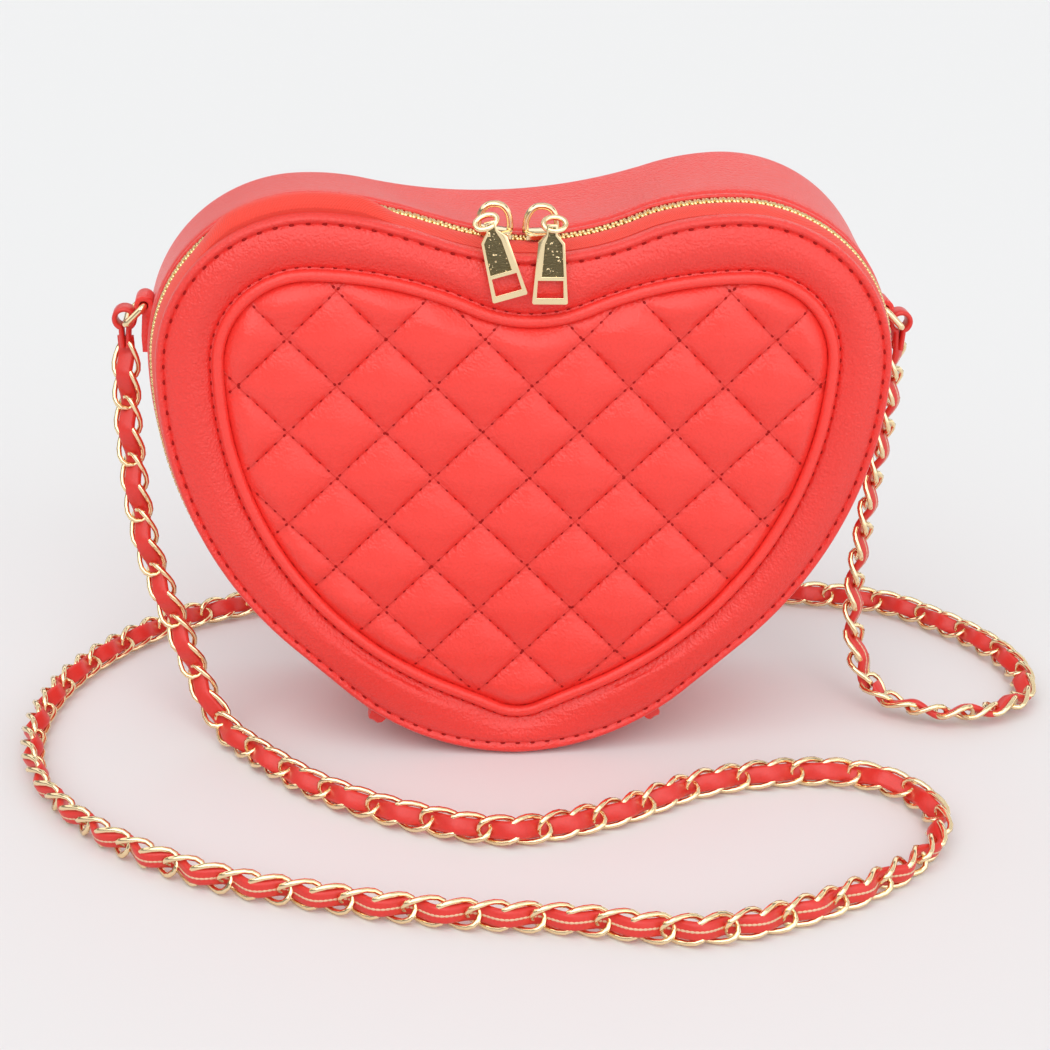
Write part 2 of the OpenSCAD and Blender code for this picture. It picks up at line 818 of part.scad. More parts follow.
// Rectangular wire ring that hangs from the seat
module ring(left) {
    half_w = (ring_w + ring_wire_d) / 2;
    bar_l = 2 * (half_w - ring_corner_r);
    side_l = ring_l - 2 * ring_corner_r;
    color(gold_color)
        on_side(left)
            translate(seat)
                rotate([0, -ring_lean, 0])
                    translate([0, 0, -ring_l / 2]) {
                        for (end = [-1, 1])
                            translate([0, 0, end * ring_l / 2])
                                rotate([90, 0, 0])
                                    cylinder(d = ring_wire_d, h = bar_l, center = true, $fn = wire_fn);
                        for (end = [-1, 1])
                            translate([0, end * half_w, -side_l / 2])
                                cylinder(d = ring_wire_d, h = side_l, $fn = wire_fn);
                        for (end = [0, 1])
                            for (top = [0, 1])
                                mirror([0, end, 0])
                                    mirror([0, 0, top])
                                        translate([0, half_w - ring_corner_r, side_l / 2])
                                            rotate([90, 0, 90])
                                                quarter_bend(ring_corner_r, ring_wire_d);
                    }
}

module left_ring() {
    ring(true);
}

module right_ring() {
    ring(false);
}

// The strap's leather loop is wide enough for the swing of the ring's outer bar
loop_mid = outer_bar(ring_lean + ring_swing / 2);
loop_r = ring_wire_d / 2 + gap + ring_l * sin(ring_swing / 2);
// Lower end of the strap's tail, from the seat
tail_low = loop_mid[1] - loop_r - strip_t - strap_tail;

module strap_end(left) {
    color(leather_color)
        on_side(left)
            translate([seat[0], seat[1] + strip_w / 2, seat[2]])
                rotate([90, 0, 0])
                    linear_extrude(strip_w)
                        difference() {
                            union() {
                                translate(loop_mid)
                                    circle(loop_r + strip_t, $fn = wire_fn);
                                translate([loop_mid[0] - strip_t, tail_low])
                                    square([2 * strip_t, loop_mid[1] - tail_low]);
                            }
                            translate(loop_mid)
                                circle(loop_r, $fn = wire_fn);
                        }
}

module left_strap_end() {
    strap_end(true);
}

module right_strap_end() {
    strap_end(false);
}

// Route of the strap: from the left ring down to the floor, in two long bends
// in front of the bag, round behind it and up to the right ring
route = [
    [-114.5, -0.5, 93], [-110.5, -6.5, 61], [-101, -11.5, 33], [-93.5, -15.5, 14],
    [-86, -25, 5], [-74, -42, 4], [-58, -60, 4], [-34, -76, 4], [-6, -85, 4], [24, -76, 4],
    [52, -60, 4], [84, -54, 4], [106, -60, 4], [116, -79, 4], [107, -102, 4], [76, -125, 4],
    [40, -137, 4], [6, -131, 4], [-28, -126, 4], [-60, -117, 4], [-92, -104, 4], [-121, -80, 4],
    [-140, -48, 4], [-143, -10, 4], [-130, 28, 4], [-98, 62, 4], [-40, 82, 4], [40, 83, 4],
    [124, 71, 4], [152, 50, 4], [167, 20, 4], [164, -6, 4], [146, -17, 4], [128, -14.5, 4],
    [114, -4, 10], [108.5, 1.5, 32], [110.5, 3.5, 66], [114, 4.5, 94]
];
// Longest step between the rings of the strap's tube, and its sides
ring_step = 22;
tube_sides = 10;

strap_top = [seat[0] + loop_mid[0], seat[1], seat[2] + tail_low];
stops = concat([[-strap_top[0], strap_top[1], strap_top[2]]], route, [strap_top]);

// Smooth curve through the stops, kept above the surface that the strap lies on
function through(a, b, c, d, t) =
    let (p = b + (c - a) * t / 2 + (2 * a - 5 * b + 4 * c - d) * t * t / 2
        + (3 * b - a - 3 * c + d) * t * t * t / 2)
    [p[0], p[1], max(p[2], strap_d / 2)];
centres = let (n = len(stops)) concat(
    [for (i = [0 : n - 2])
        let (
            a = i > 0 ? stops[i - 1] : 2 * stops[0] - stops[1],
            d = i < n - 2 ? stops[i + 2] : 2 * stops[n - 1] - stops[n - 2],
            k = ceil(norm(stops[i + 1] - stops[i]) / ring_step)
        )
        each [for (j = [0 : k - 1]) through(a, stops[i], stops[i + 1], d, j / k)]],
    [stops[n - 1]]
);

function unit(v) = v / norm(v);
// Direction of the tube at each of its rings, upright at both ends
function heading(i) =
    let (n = len(centres))
    i == 0 ? [0, 0, -1] : i == n - 1 ? [0, 0, 1] : unit(centres[i + 1] - centres[i - 1]);
// Sideways directions carried along the tube without twisting
function sideways(i = 1, out = [[0, 1, 0]]) =
    i == len(centres) ? out :
    let (h = heading(i), last = out[i - 1])
    sideways(i + 1, concat(out, [unit(last - (last * h) * h)]));

module strap_cord() {
    n = len(centres);
    sides = sideways();
    points = [for (i = [0 : n - 1])
        let (u = sides[i], w = cross(heading(i), u))
        for (k = [0 : tube_sides - 1])
            centres[i] + strap_d / 2 * (cos(k * 360 / tube_sides) * u + sin(k * 360 / tube_sides) * w)];
    skin = [for (i = [0 : n - 2]) for (k = [0 : tube_sides - 1])
        let (
            a = i * tube_sides + k,
            b = i * tube_sides + (k + 1) % tube_sides
        )
        each [[a, b + tube_sides, b], [a, a + tube_sides, b + tube_sides]]];
    first = [for (k = [0 : tube_sides - 1]) k];
    last = [for (k = [tube_sides - 1 : -1 : 0]) (n - 1) * tube_sides + k];
    color(gold_color)
        polyhedron(points, concat(skin, [first], [last]), convexity = 8);
}

front_edge_roll();
front_band();
inner_piping();
quilted_pad();
front_board();
front_lining();
front_zip_tape();
front_zip_teeth();
left_slider();
right_slider();
left_pull();
right_pull();
rear_zip_tape();
rear_zip_teeth();
rear_gusset();
bottom_gusset();
gusset_board();
gusset_lining();
bottom_board();
bottom_lining();
back_edge_roll();
back_panel();
back_board();
back_lining();
left_zip_end_tab();
right_zip_end_tab();
left_ring_tab();
right_ring_tab();
left_ring();
right_ring();
left_strap_end();
right_strap_end();
strap_cord();
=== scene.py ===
"""Dresses the heart shaped purse: leather, zip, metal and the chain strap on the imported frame."""

import math

import bmesh
import bpy
import numpy as np
from bpy.props import FloatProperty, FloatVectorProperty, PointerProperty
from mathutils import Matrix, Vector


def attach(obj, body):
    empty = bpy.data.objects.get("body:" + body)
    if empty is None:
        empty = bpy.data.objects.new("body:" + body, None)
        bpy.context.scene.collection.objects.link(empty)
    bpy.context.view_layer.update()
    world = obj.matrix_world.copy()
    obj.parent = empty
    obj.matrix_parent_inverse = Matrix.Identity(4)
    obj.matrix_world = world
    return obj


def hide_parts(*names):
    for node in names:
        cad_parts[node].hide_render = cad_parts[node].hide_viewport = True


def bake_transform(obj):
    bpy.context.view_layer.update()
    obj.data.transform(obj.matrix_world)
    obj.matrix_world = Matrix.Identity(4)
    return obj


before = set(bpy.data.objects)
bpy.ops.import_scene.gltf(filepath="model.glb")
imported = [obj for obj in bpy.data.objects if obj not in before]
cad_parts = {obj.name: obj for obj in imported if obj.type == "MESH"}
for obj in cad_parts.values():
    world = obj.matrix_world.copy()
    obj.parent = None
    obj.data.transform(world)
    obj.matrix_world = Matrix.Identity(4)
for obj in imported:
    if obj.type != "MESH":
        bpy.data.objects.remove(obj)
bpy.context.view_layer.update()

bl_info = {
    "name": "Heart Shaped Purse",
    "version": (1, 0, 0),
    "blender": (4, 5, 0),
    "location": "View3D > Sidebar > Purse",
    "description": "Builds the leather, zip, metal and strap of a heart shaped purse",
    "category": "Object",
}

MM = 0.001

# Places that are shared with the source, in millimetres
FRONT_Y = -31.2
LIFT = -0.358
# A heart is its width, top, tip, dip, and the radii of lobe, shoulder, side and tip
BAG = (210, 166.5, 0, 12.5, 75, 45, 118, 75)
PAD = (171, 147.5, 16, 13, 110, 24, 109, 14)
REAR = (214.62, 165.16, 0, 8.08, 75, 45, 118, 75)
ARC_STEPS = (20, 20, 60, 70, 60)
# The bag's back stands a little turned and shifted against its front
REAR_TURN = math.radians(3.63)
REAR_PIVOT_Z = 110
REAR_SHIFT = 0.7
REAR_START, REAR_END = 14, 61
ZIP_END_X = 45
# Rise of the stretched zip over the outline across the bag, and the depths at which it fades
STRETCH_X = (-80, -50, -38, -26, -12, 24, 34, 50, 80)
STRETCH_UP = (0, -0.2, 0.1, 1.5, 1.8, 2.0, 2.1, 1.2, 0)
STRETCH_LOW_Z = 100
STRETCH_START, STRETCH_END = 14, 38
# The diamond grid's middle, the side of a diamond and its steps, and the pitch of its thread
QUILT_X, QUILT_Z = 0.9, 117.3
QUILT_SIDE = 27.5 / math.sqrt(2)
QUILT_STEPS = 24
QUILT_STITCH = 3.45
PAD_BACK = 1.68
# The front's edge: its rise at the dip, its seam, and how it draws in and forward at the tip
FRONT_RISE = 0.7
EDGE_SEAM = 3.1
TIP_WIDTH, TIP_TOP = 36, 60
TIP_INSET, TIP_FORWARD = 1.3, 1.9
# The right ring's seat, and the bar that the strap hangs on, seen from the seat
SEAT = Vector((109.06, 4.8, 130.24))
RING_BAR = Vector((5.83, 0, -4.72))
# The dip's arc that the sliders run along, and heights of plate, bail and bar over it
DIP_R, DIP_Z = 75.25, 228.89
DIP_HALF = 26
SLIDER_Y = -19.2
PLATE_G, BAIL_H, BAR_H = 3.1, 6.9, 7.7
# Side, place along the dip, tilt of the pull in degrees, mirror sign, the pull's place beside it
SLIDERS = (("left", -10.15, -16.5, -1, -2.7), ("right", 3.15, 0, 1, 1.4))
# Where a pull's blade lies under the bail's bar, and how far it leans
BLADE_OFFSET = (0, -14.0, -4.7)
BLADE_LEAN = math.radians(5)

# The fitted camera and the stage, in metres
CAMERA_PLACE = (-0.0620, -0.6189, 0.3169)
CAMERA_FORWARD = (0.09742, 0.91998, -0.37965)
CAMERA_RIGHT = (0.99523, -0.09191, 0.03267)
LENS = 75.70
FLOOR_HALF = 8
# Name, where the light comes from, its spread in degrees and its power
LAMPS = (
    ("key light", (-0.32, -0.85, 1.0), 62, 1.35),
    ("fill light", (0.65, -1.0, 0.35), 60, 0.75),
)
# Heights and brightness of the soft boxes and the gaps between them
SOFT_BOXES = (
    (0.0, 0.35), (0.5, 0.3), (0.54, 0.12), (0.58, 0.15), (0.61, 1.0), (0.78, 1.0),
    (0.81, 0.12), (0.86, 0.15), (0.9, 0.9), (1.0, 0.6),
)


class PurseSizes(bpy.types.PropertyGroup):
    """Sizes that a maker would change."""

    piping: FloatProperty(
        name="Piping", description="Thickness of the piping round the quilted heart",
        default=0.0033, unit="LENGTH", subtype="DISTANCE")
    puff: FloatProperty(
        name="Puff", description="Height of the puffs over their sewn seams",
        default=0.0030, unit="LENGTH", subtype="DISTANCE")
    stitch: FloatProperty(
        name="Stitch", description="Distance between two stitches of the edge seam",
        default=0.0045, unit="LENGTH", subtype="DISTANCE")
    tooth_pitch: FloatProperty(
        name="Tooth pitch", description="Distance between two teeth of one row",
        default=0.0024, unit="LENGTH", subtype="DISTANCE")
    link_pitch: FloatProperty(
        name="Link pitch", description="Distance between two links of the chain",
        default=0.00845, unit="LENGTH", subtype="DISTANCE")
    link_wire: FloatProperty(
        name="Link wire", description="Thickness of the chain's wire",
        default=0.00165, unit="LENGTH", subtype="DISTANCE")
    strip_width: FloatProperty(
        name="Strip width", description="Width of the leather strip in the chain",
        default=0.0051, unit="LENGTH", subtype="DISTANCE")


class PurseColours(bpy.types.PropertyGroup):
    """Colours that a maker would change."""

    leather: FloatVectorProperty(
        name="Leather", description="Leather of the front, wall and back",
        size=3, min=0, max=1, subtype="COLOR", default=(0.86, 0.040, 0.030))
    quilt: FloatVectorProperty(
        name="Quilted leather", description="Softer leather of the quilted heart",
        size=3, min=0, max=1, subtype="COLOR", default=(0.93, 0.052, 0.039))
    tape: FloatVectorProperty(
        name="Tape", description="Woven tape of the zip",
        size=3, min=0, max=1, subtype="COLOR", default=(0.95, 0.064, 0.038))
    lining: FloatVectorProperty(
        name="Lining", description="Cloth inside the bag",
        size=3, min=0, max=1, subtype="COLOR", default=(0.40, 0.02, 0.03))
    # The thread's dark red also stands for painted shade in the stitch holes
    thread: FloatVectorProperty(
        name="Thread", description="Sewing thread",
        size=3, min=0, max=1, subtype="COLOR", default=(0.36, 0.011, 0.010))
    gold: FloatVectorProperty(
        name="Gold", description="Plated metal of the zip, rings and chain",
        size=3, min=0, max=1, subtype="COLOR", default=(0.97, 0.77, 0.46))
    board: FloatVectorProperty(
        name="Board", description="Stiff board under the leather",
        size=3, min=0, max=1, subtype="COLOR", default=(0.55, 0.50, 0.42))


# Outlines

def heart(shape):
    """Points of a heart, clockwise from the dip, and the directions square to it."""
    w, top, tip, drop, lobe, shoulder, side, tip_r = shape
    lobe_x = w / 2 - shoulder
    reach = (lobe_x ** 2 + drop ** 2) / (2 * drop)
    turn = math.asin(lobe_x / reach)
    dip_r = reach - lobe
    side_x, side_z = w / 2 - side, top - shoulder
    run = (-side_x, tip + tip_r - side_z)
    meet = math.pi / 2 + math.atan2(-run[1], run[0]) - math.acos((side - tip_r) / math.hypot(*run))
    arcs = (
        (0, top - drop + dip_r, -dip_r, math.pi, math.pi - turn),
        (lobe_x, top - lobe, lobe, -turn, 0),
        (lobe_x, top - shoulder, shoulder, 0, math.pi / 2),
        (side_x, side_z, side, math.pi / 2, meet),
        (0, tip + tip_r, tip_r, meet, math.pi),
    )
    points, outward = [], []
    for (x, z, r, a0, a1), steps in zip(arcs, ARC_STEPS):
        a = a0 + (a1 - a0) * np.arange(steps) / steps
        ray = np.column_stack([np.sin(a), np.cos(a)])
        points.append(np.array([x, z]) + abs(r) * ray)
        outward.append(math.copysign(1, r) * ray)
    points.append([[0, tip]])
    outward.append([[0, -1]])
    points, outward = np.vstack(points), np.vstack(outward)
    flip = np.array([-1, 1])
    return (np.vstack([points, points[-2:0:-1] * flip]),
            np.vstack([outward, outward[-2:0:-1] * flip]))


BAG_LINE, PAD_LINE, REAR_LINE = heart(BAG), heart(PAD), heart(REAR)
COUNT = len(BAG_LINE[0])


def grown(line, g):
    """The outline moved outwards by g, which may change along it."""
    return line[0] + np.multiply(np.reshape(g, (-1, 1)), line[1])


def rear_outline(g):
    """The back's outline, turned and shifted."""
    x, z = grown(REAR_LINE, g).T
    z = z - REAR_PIVOT_Z
    c, s = math.cos(REAR_TURN), math.sin(REAR_TURN)
    return np.column_stack([x * c - z * s + REAR_SHIFT, REAR_PIVOT_Z + x * s + z * c])


def zip_rise(x, z):
    """How far the stretched zip and the edges beside it stand over the drawn outline."""
    return np.interp(x, STRETCH_X, STRETCH_UP) * (np.asarray(z) > STRETCH_LOW_Z)


def tip_share():
    """Nearness to the bottom tip, where the leather's edge is fuller and pointed."""
    x, z = BAG_LINE[0].T
    return np.clip(1 - np.abs(x) / TIP_WIDTH, 0, 1) * (z < TIP_TOP)


def placed(xz, t, rise=0):
    """Outline points at a depth behind the front face, over the floor."""
    y = np.broadcast_to(FRONT_Y + np.asarray(t, float), len(xz))
    z = xz[:, 1] + LIFT + rise * zip_rise(xz[:, 0], xz[:, 1])
    return np.column_stack([xz[:, 0], y, np.maximum(z, 0)])


def at_depth(g, t):
    """The bag's outline at a growth and a depth, from the front to its turned back."""
    share = min(max((t - REAR_START) / (REAR_END - REAR_START), 0), 1)
    rise = min(max((STRETCH_END - t) / (STRETCH_END - STRETCH_START), 0), 1)
    return placed(grown(BAG_LINE, g) * (1 - share) + rear_outline(g) * share, t, rise)


def quilt_place(u, v):
    """Where a point of the diamond grid lies across and up the heart."""
    return QUILT_X + (u - v) / math.sqrt(2), QUILT_Z + (u + v) / math.sqrt(2)


def round_angles(count):
    """Equal steps of one full turn."""
    return np.arange(count) * 2 * math.pi / count


def looped(points):
    """A line that ends where it starts."""
    return np.vstack([points, points[:1]])


def distances(points):
    """How far along their line the points lie."""
    steps = np.linalg.norm(np.diff(points, axis=0), axis=1)
    return np.concatenate([[0], np.cumsum(steps)])


def along_line(at, run, values):
    """What the values of a line's points are at other distances along it."""
    return np.column_stack([np.interp(at, run, column) for column in values.T])


BOTTOM = [i for i in range(COUNT)
          if BAG_LINE[0][i, 1] < BAG[1] / 2 and abs(BAG_LINE[0][i, 0]) < ZIP_END_X]
ROUND_TOP = [i % COUNT for i in range(BOTTOM[-1] + 1, COUNT + BOTTOM[0])]


# Meshes

def add_object(name, data):
    made = bpy.data.objects.new(name, data)
    bpy.context.scene.collection.objects.link(made)
    return made


def piece(name, points, faces, material, smooth=60, uv=None):
    """A closed mesh from points in millimetres, its faces turned outwards."""
    mesh = bpy.data.meshes.new(name)
    mesh.from_pydata((np.asarray(points, float) * MM).tolist(), [], faces)
    if uv is not None:
        layer = mesh.uv_layers.new(name="UVMap")
        index = np.empty(len(mesh.loops), int)
        mesh.loops.foreach_get("vertex_index", index)
        layer.data.foreach_set("uv", np.asarray(uv, float)[index].ravel())
    turned = bmesh.new()
    turned.from_mesh(mesh)
    bmesh.ops.recalc_face_normals(turned, faces=turned.faces)
    turned.to_mesh(mesh)
    turned.free()
    mesh.shade_smooth()
    if smooth < 180:
        mesh.set_sharp_from_angle(angle=math.radians(smooth))
    mesh.materials.append(material)
    return add_object(name, mesh)


def loft(sections, closed_path):
    """Faces of a closed section carried along a path, with ends where the path is open."""
    n, m = len(sections), len(sections[0])
    faces = []
    for i in range(n if closed_path else n - 1):
        a, b = i * m, (i + 1) % n * m
        faces += [(a + j, a + (j + 1) % m, b + (j + 1) % m, b + j) for j in range(m)]
    if not closed_path:
        faces += [tuple(range(m)), tuple(range((n - 1) * m, n * m))]
    return faces


def section_piece(name, sections, material, smooth, closed_path=False, uv=None):
    """The closed skin of sections carried along a path."""
    faces = loft(sections, closed_path)
    return piece(name, np.reshape(sections, (-1, 3)), faces, material, smooth, uv)


def loft_piece(name, rows, material, path=None, smooth=60, uv=False):
    """Rows of points, each of them all round the outline, as one closed wall."""
    sections = np.stack(rows, axis=1)
    if path is not None:
        sections = sections[path]
    coordinates = None
    if uv:
        along, across = distances(sections[:, 0]) * MM, distances(sections[0]) * MM
        coordinates = np.stack(np.meshgrid(along, across, indexing="ij"), axis=-1).reshape(-1, 2)
    return section_piece(name, sections, material, smooth, path is None, coordinates)


def plate_piece(name, rows, material, smooth=60):
    """Rows of points round the outline, closed by a flat face at both ends."""
    return section_piece(name, np.stack(rows), material, smooth)


def swept(path, side, up, section):
    """Sections of a strip carried along a path, with its width along side."""
    return np.stack([path + side * x + up * y for x, y in section], axis=1)


def rounded_section(width, height, corner, steps=3):
    """Outline of a bar with rounded corners."""
    out = []
    for k, (sx, sy) in enumerate(((1, 1), (-1, 1), (-1, -1), (1, -1))):
        for i in range(steps):
            a = math.radians(90 * (k + i / (steps - 1)))
            out.append((sx * (width / 2 - corner) + corner * math.cos(a),
                        sy * (height / 2 - corner) + corner * math.sin(a)))
    return out


def unit(v):
    return v / np.maximum(np.linalg.norm(v, axis=-1, keepdims=True), 1e-9)


def finish_piece(made, body, slot, *nodes):
    """Puts a piece on its body and hides the solids that it stands for; its slot is not used."""
    if body:
        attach(made, body)
    if nodes:
        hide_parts(*nodes)
    return made


def dress(node, material, bevel=0):
    """A solid whose shape is right keeps its mesh and gets a finish."""
    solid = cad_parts[node]
    solid.data.materials.clear()
    solid.data.materials.append(material)
    if bevel:
        weld = solid.modifiers.new("weld", "WELD")
        weld.merge_threshold = 0.00001
        round_off = solid.modifiers.new("bevel", "BEVEL")
        round_off.width = bevel
        round_off.segments = 2
        round_off.limit_method = "ANGLE"
        round_off.angle_limit = math.radians(35)
        round_off.harden_normals = True
        solid.data.shade_smooth()


# Materials

def join_nodes(tree, start, output, end, socket):
    tree.links.new(start.outputs[output], end.inputs[socket])


def shader_group(name, **amounts):
    """A shader node group with its sockets and its two end nodes, and nothing between them."""
    group = bpy.data.node_groups.new(name, "ShaderNodeTree")
    socket = group.interface.new_socket
    socket("Vector", in_out="INPUT", socket_type="NodeSocketVector")
    socket("Colour", in_out="INPUT", socket_type="NodeSocketColor").default_value = (1, 1, 1, 1)
    for label, value in amounts.items():
        socket(label, in_out="INPUT", socket_type="NodeSocketFloat").default_value = value
    socket("Colour", in_out="OUTPUT", socket_type="NodeSocketColor")
    for label in ("Roughness", "Height"):
        socket(label, in_out="OUTPUT", socket_type="NodeSocketFloat")
    return group, group.nodes.new("NodeGroupInput"), group.nodes.new("NodeGroupOutput")


def math_node(tree, operation, a, b=None, c=None):
    node = tree.nodes.new("ShaderNodeMath")
    node.operation = operation
    for k, value in enumerate((a, b, c)):
        if value is None:
            continue
        if isinstance(value, (int, float)):
            node.inputs[k].default_value = value
        else:
            tree.links.new(value, node.inputs[k])
    return node.outputs[0]


def colour_mix(tree, factor, a, b, blend="MIX"):
    node = tree.nodes.new("ShaderNodeMix")
    node.data_type = "RGBA"
    node.blend_type = blend
    for socket, value in ((node.inputs[0], factor), (node.inputs[6], a), (node.inputs[7], b)):
        if isinstance(value, bpy.types.NodeSocket):
            tree.links.new(value, socket)
        elif isinstance(value, (int, float)):
            socket.default_value = value
        else:
            socket.default_value = (*value[:3], 1)
    return node.outputs[2]


def texture(tree, kind, vector, scale, **values):
    node = tree.nodes.new(kind)
    tree.links.new(vector, node.inputs["Vector"])
    node.inputs["Scale"].default_value = scale
    for label, value in values.items():
        node.inputs[label].default_value = value
    return node


def shaded(group, start, end, shade):
    """Gives out the group's colour, made darker or lighter by a grey value."""
    grey = group.nodes.new("ShaderNodeCombineColor")
    for k in range(3):
        group.links.new(shade, grey.inputs[k])
    mixed = colour_mix(group, 1.0, start.outputs["Colour"], grey.outputs[0], "MULTIPLY")
    group.links.new(mixed, end.inputs["Colour"])


def grain_group():
    """Fine pores, soft creases and slow mottling of finished leather."""
    group, start, end = shader_group("leather_grain", Mottling=0.1, Creasing=0.3)
    vector = start.outputs["Vector"]
    warp = texture(group, "ShaderNodeTexNoise", vector, 900, Detail=2.0)
    shifted = group.nodes.new("ShaderNodeVectorMath")
    shifted.operation = "MULTIPLY_ADD"
    group.links.new(warp.outputs["Color"], shifted.inputs[0])
    shifted.inputs[1].default_value = (0.0006, 0.0006, 0.0006)
    group.links.new(vector, shifted.inputs[2])
    pores = texture(group, "ShaderNodeTexVoronoi", shifted.outputs[0], 1500)
    pores.feature = "SMOOTH_F1"
    creases = texture(group, "ShaderNodeTexNoise", vector, 520,
                      Detail=3.0, Roughness=0.6, Distortion=0.5)
    slow = texture(group, "ShaderNodeTexNoise", vector, 28, Detail=3.0)
    mottling = start.outputs["Mottling"]
    shade = math_node(group, "MULTIPLY_ADD", slow.outputs[0], mottling, 1.0)
    shade = math_node(group, "SUBTRACT", shade, math_node(group, "MULTIPLY", mottling, 0.5))
    pit = math_node(group, "MULTIPLY_ADD", pores.outputs["Distance"], -0.10, 1.03)
    shaded(group, start, end, math_node(group, "MULTIPLY", shade, pit))
    rough = math_node(group, "MULTIPLY_ADD", creases.outputs[0], 0.14, 0.29)
    group.links.new(rough, end.inputs["Roughness"])
    height = math_node(group, "MULTIPLY_ADD", creases.outputs[0], start.outputs["Creasing"],
                       math_node(group, "MULTIPLY", pores.outputs["Distance"], 0.9))
    group.links.new(height, end.inputs["Height"])
    return group


def weave_group():
    """Raised ribs across a woven tape, with the threads of each rib, and painted shade between the
    ribs.
    """
    group, start, end = shader_group("tape_weave", Ribs=1300, Threads=1800)
    split = group.nodes.new("ShaderNodeSeparateXYZ")
    group.links.new(start.outputs["Vector"], split.inputs[0])

    def wave(where, count):
        """Waves across the tape, so many of them in a metre."""
        turns = math_node(group, "MULTIPLY", where, start.outputs[count])
        return math_node(group, "SINE", math_node(group, "MULTIPLY", turns, 2 * math.pi))

    ribs = wave(math_node(group, "ADD", split.outputs[0], split.outputs[1]), "Ribs")
    threads = wave(split.outputs[1], "Threads")
    height = math_node(group, "MULTIPLY_ADD", threads, 0.3, ribs)
    # Painted shade: the colour is a little lighter on the ribs' tops and darker in the valleys
    # between them
    shade = math_node(group, "MULTIPLY_ADD", ribs, 0.05, 0.96)
    fuzz = texture(group, "ShaderNodeTexNoise", start.outputs["Vector"], 500, Detail=2.0)
    patches = math_node(group, "MULTIPLY_ADD", fuzz.outputs[0], 0.14, 0.93)
    shaded(group, start, end, math_node(group, "MULTIPLY", shade, patches))
    rough = math_node(group, "MULTIPLY_ADD", fuzz.outputs[0], 0.2, 0.7)
    group.links.new(rough, end.inputs["Roughness"])
    group.links.new(height, end.inputs["Height"])
    return group


def polish_group():
    """Faint smears and hairline scratches on plated metal."""
    group, start, end = shader_group("metal_polish", Smoothness=0.2)
    smear = texture(group, "ShaderNodeTexNoise", start.outputs["Vector"], 160, Detail=3.0)
    fine = texture(group, "ShaderNodeTexNoise", start.outputs["Vector"], 2400, Detail=2.0)
    rough = math_node(group, "MULTIPLY_ADD", smear.outputs[0], 0.12, start.outputs["Smoothness"])
    group.links.new(rough, end.inputs["Roughness"])
    shaded(group, start, end, math_node(group, "MULTIPLY_ADD", smear.outputs[0], 0.12, 0.92))
    group.links.new(fine.outputs[0], end.inputs["Height"])
    return group


GROUPS = {}


def surface(name, group, colour, bump, strength=0.5, uv=False, shader=None, **values):
    """A material whose colour, roughness and relief come from one of the shared groups."""
    made = bpy.data.materials.get(name)
    if made:
        return made
    made = bpy.data.materials.new(name)
    made.use_nodes = True
    tree = made.node_tree
    bsdf = tree.nodes["Principled BSDF"]
    if group not in GROUPS:
        GROUPS[group] = group()
    use = tree.nodes.new("ShaderNodeGroup")
    use.node_tree = GROUPS[group]
    coordinates = tree.nodes.new("ShaderNodeTexCoord")
    tree.links.new(coordinates.outputs["UV" if uv else "Object"], use.inputs["Vector"])
    use.inputs["Colour"].default_value = (*colour[:3], 1)
    for label, value in values.items():
        use.inputs[label].default_value = value
    tree.links.new(use.outputs["Colour"], bsdf.inputs["Base Color"])
    tree.links.new(use.outputs["Roughness"], bsdf.inputs["Roughness"])
    relief = tree.nodes.new("ShaderNodeBump")
    relief.inputs["Strength"].default_value = strength
    relief.inputs["Distance"].default_value = bump
    tree.links.new(use.outputs["Height"], relief.inputs["Height"])
    tree.links.new(relief.outputs["Normal"], bsdf.inputs["Normal"])
    for label, value in (shader or {}).items():
        bsdf.inputs[label].default_value = value
    return made


def colours():
    return bpy.context.scene.purse_colours


def sizes():
    return bpy.context.scene.purse_sizes


def tinted(colour, *shares):
    """A colour with a share of each of its parts."""
    return [c * k for c, k in zip(colour, shares)]


def smooth_leather():
    return surface("smooth leather", grain_group, colours().leather, 0.00050, Creasing=1.3,
                   shader={"Specular IOR Level": 0.55, "Sheen Weight": 0.05})


def quilt_leather():
    """The quilted heart's leather, with painted shade that darkens its colour in the folds along
    the seams.
    """
    made = bpy.data.materials.get("quilted leather")
    if made:
        return made
    made = surface("quilted leather", grain_group, colours().quilt, 0.00026, Creasing=1.0)
    tree = made.node_tree
    bsdf = tree.nodes["Principled BSDF"]
    plain = bsdf.inputs["Base Color"].links[0].from_socket
    fold = tree.nodes.new("ShaderNodeAttribute")
    fold.attribute_name = "fold"
    # Painted shade: the colour goes towards this darker red deep in the seams' folds
    dark = tinted(colours().quilt, 0.9, 0.8, 0.8)
    deep = math_node(tree, "POWER", fold.outputs["Fac"], 3.0)
    tree.links.new(colour_mix(tree, deep, plain, dark), bsdf.inputs["Base Color"])
    # Small puckers that the thread pulls into the leather beside a seam
    relief = bsdf.inputs["Normal"].links[0].from_node
    grain = relief.inputs["Height"].links[0].from_socket
    where = tree.nodes.new("ShaderNodeTexCoord")
    pucker = texture(tree, "ShaderNodeTexNoise", where.outputs["Object"], 420,
                     Detail=2.0, Distortion=0.6)
    near_seam = math_node(tree, "MULTIPLY", fold.outputs["Fac"], 5.0)
    pull = math_node(tree, "MULTIPLY", pucker.outputs[0], near_seam)
    tree.links.new(math_node(tree, "ADD", grain, pull), relief.inputs["Height"])
    return made


def gold_metal():
    return surface("gold plated metal", polish_group, colours().gold, 0.00001, 0.3,
                   Smoothness=0.07, shader={"Metallic": 1.0})


def zip_metal():
    return surface("zip metal", polish_group, tinted(colours().gold, 0.92, 0.82, 0.66),
                   0.00001, 0.3, Smoothness=0.12, shader={"Metallic": 1.0})


def zip_tape():
    return surface("zip tape", weave_group, colours().tape, 0.00012, 0.6, uv=True,
                   shader={"Sheen Weight": 0.2})


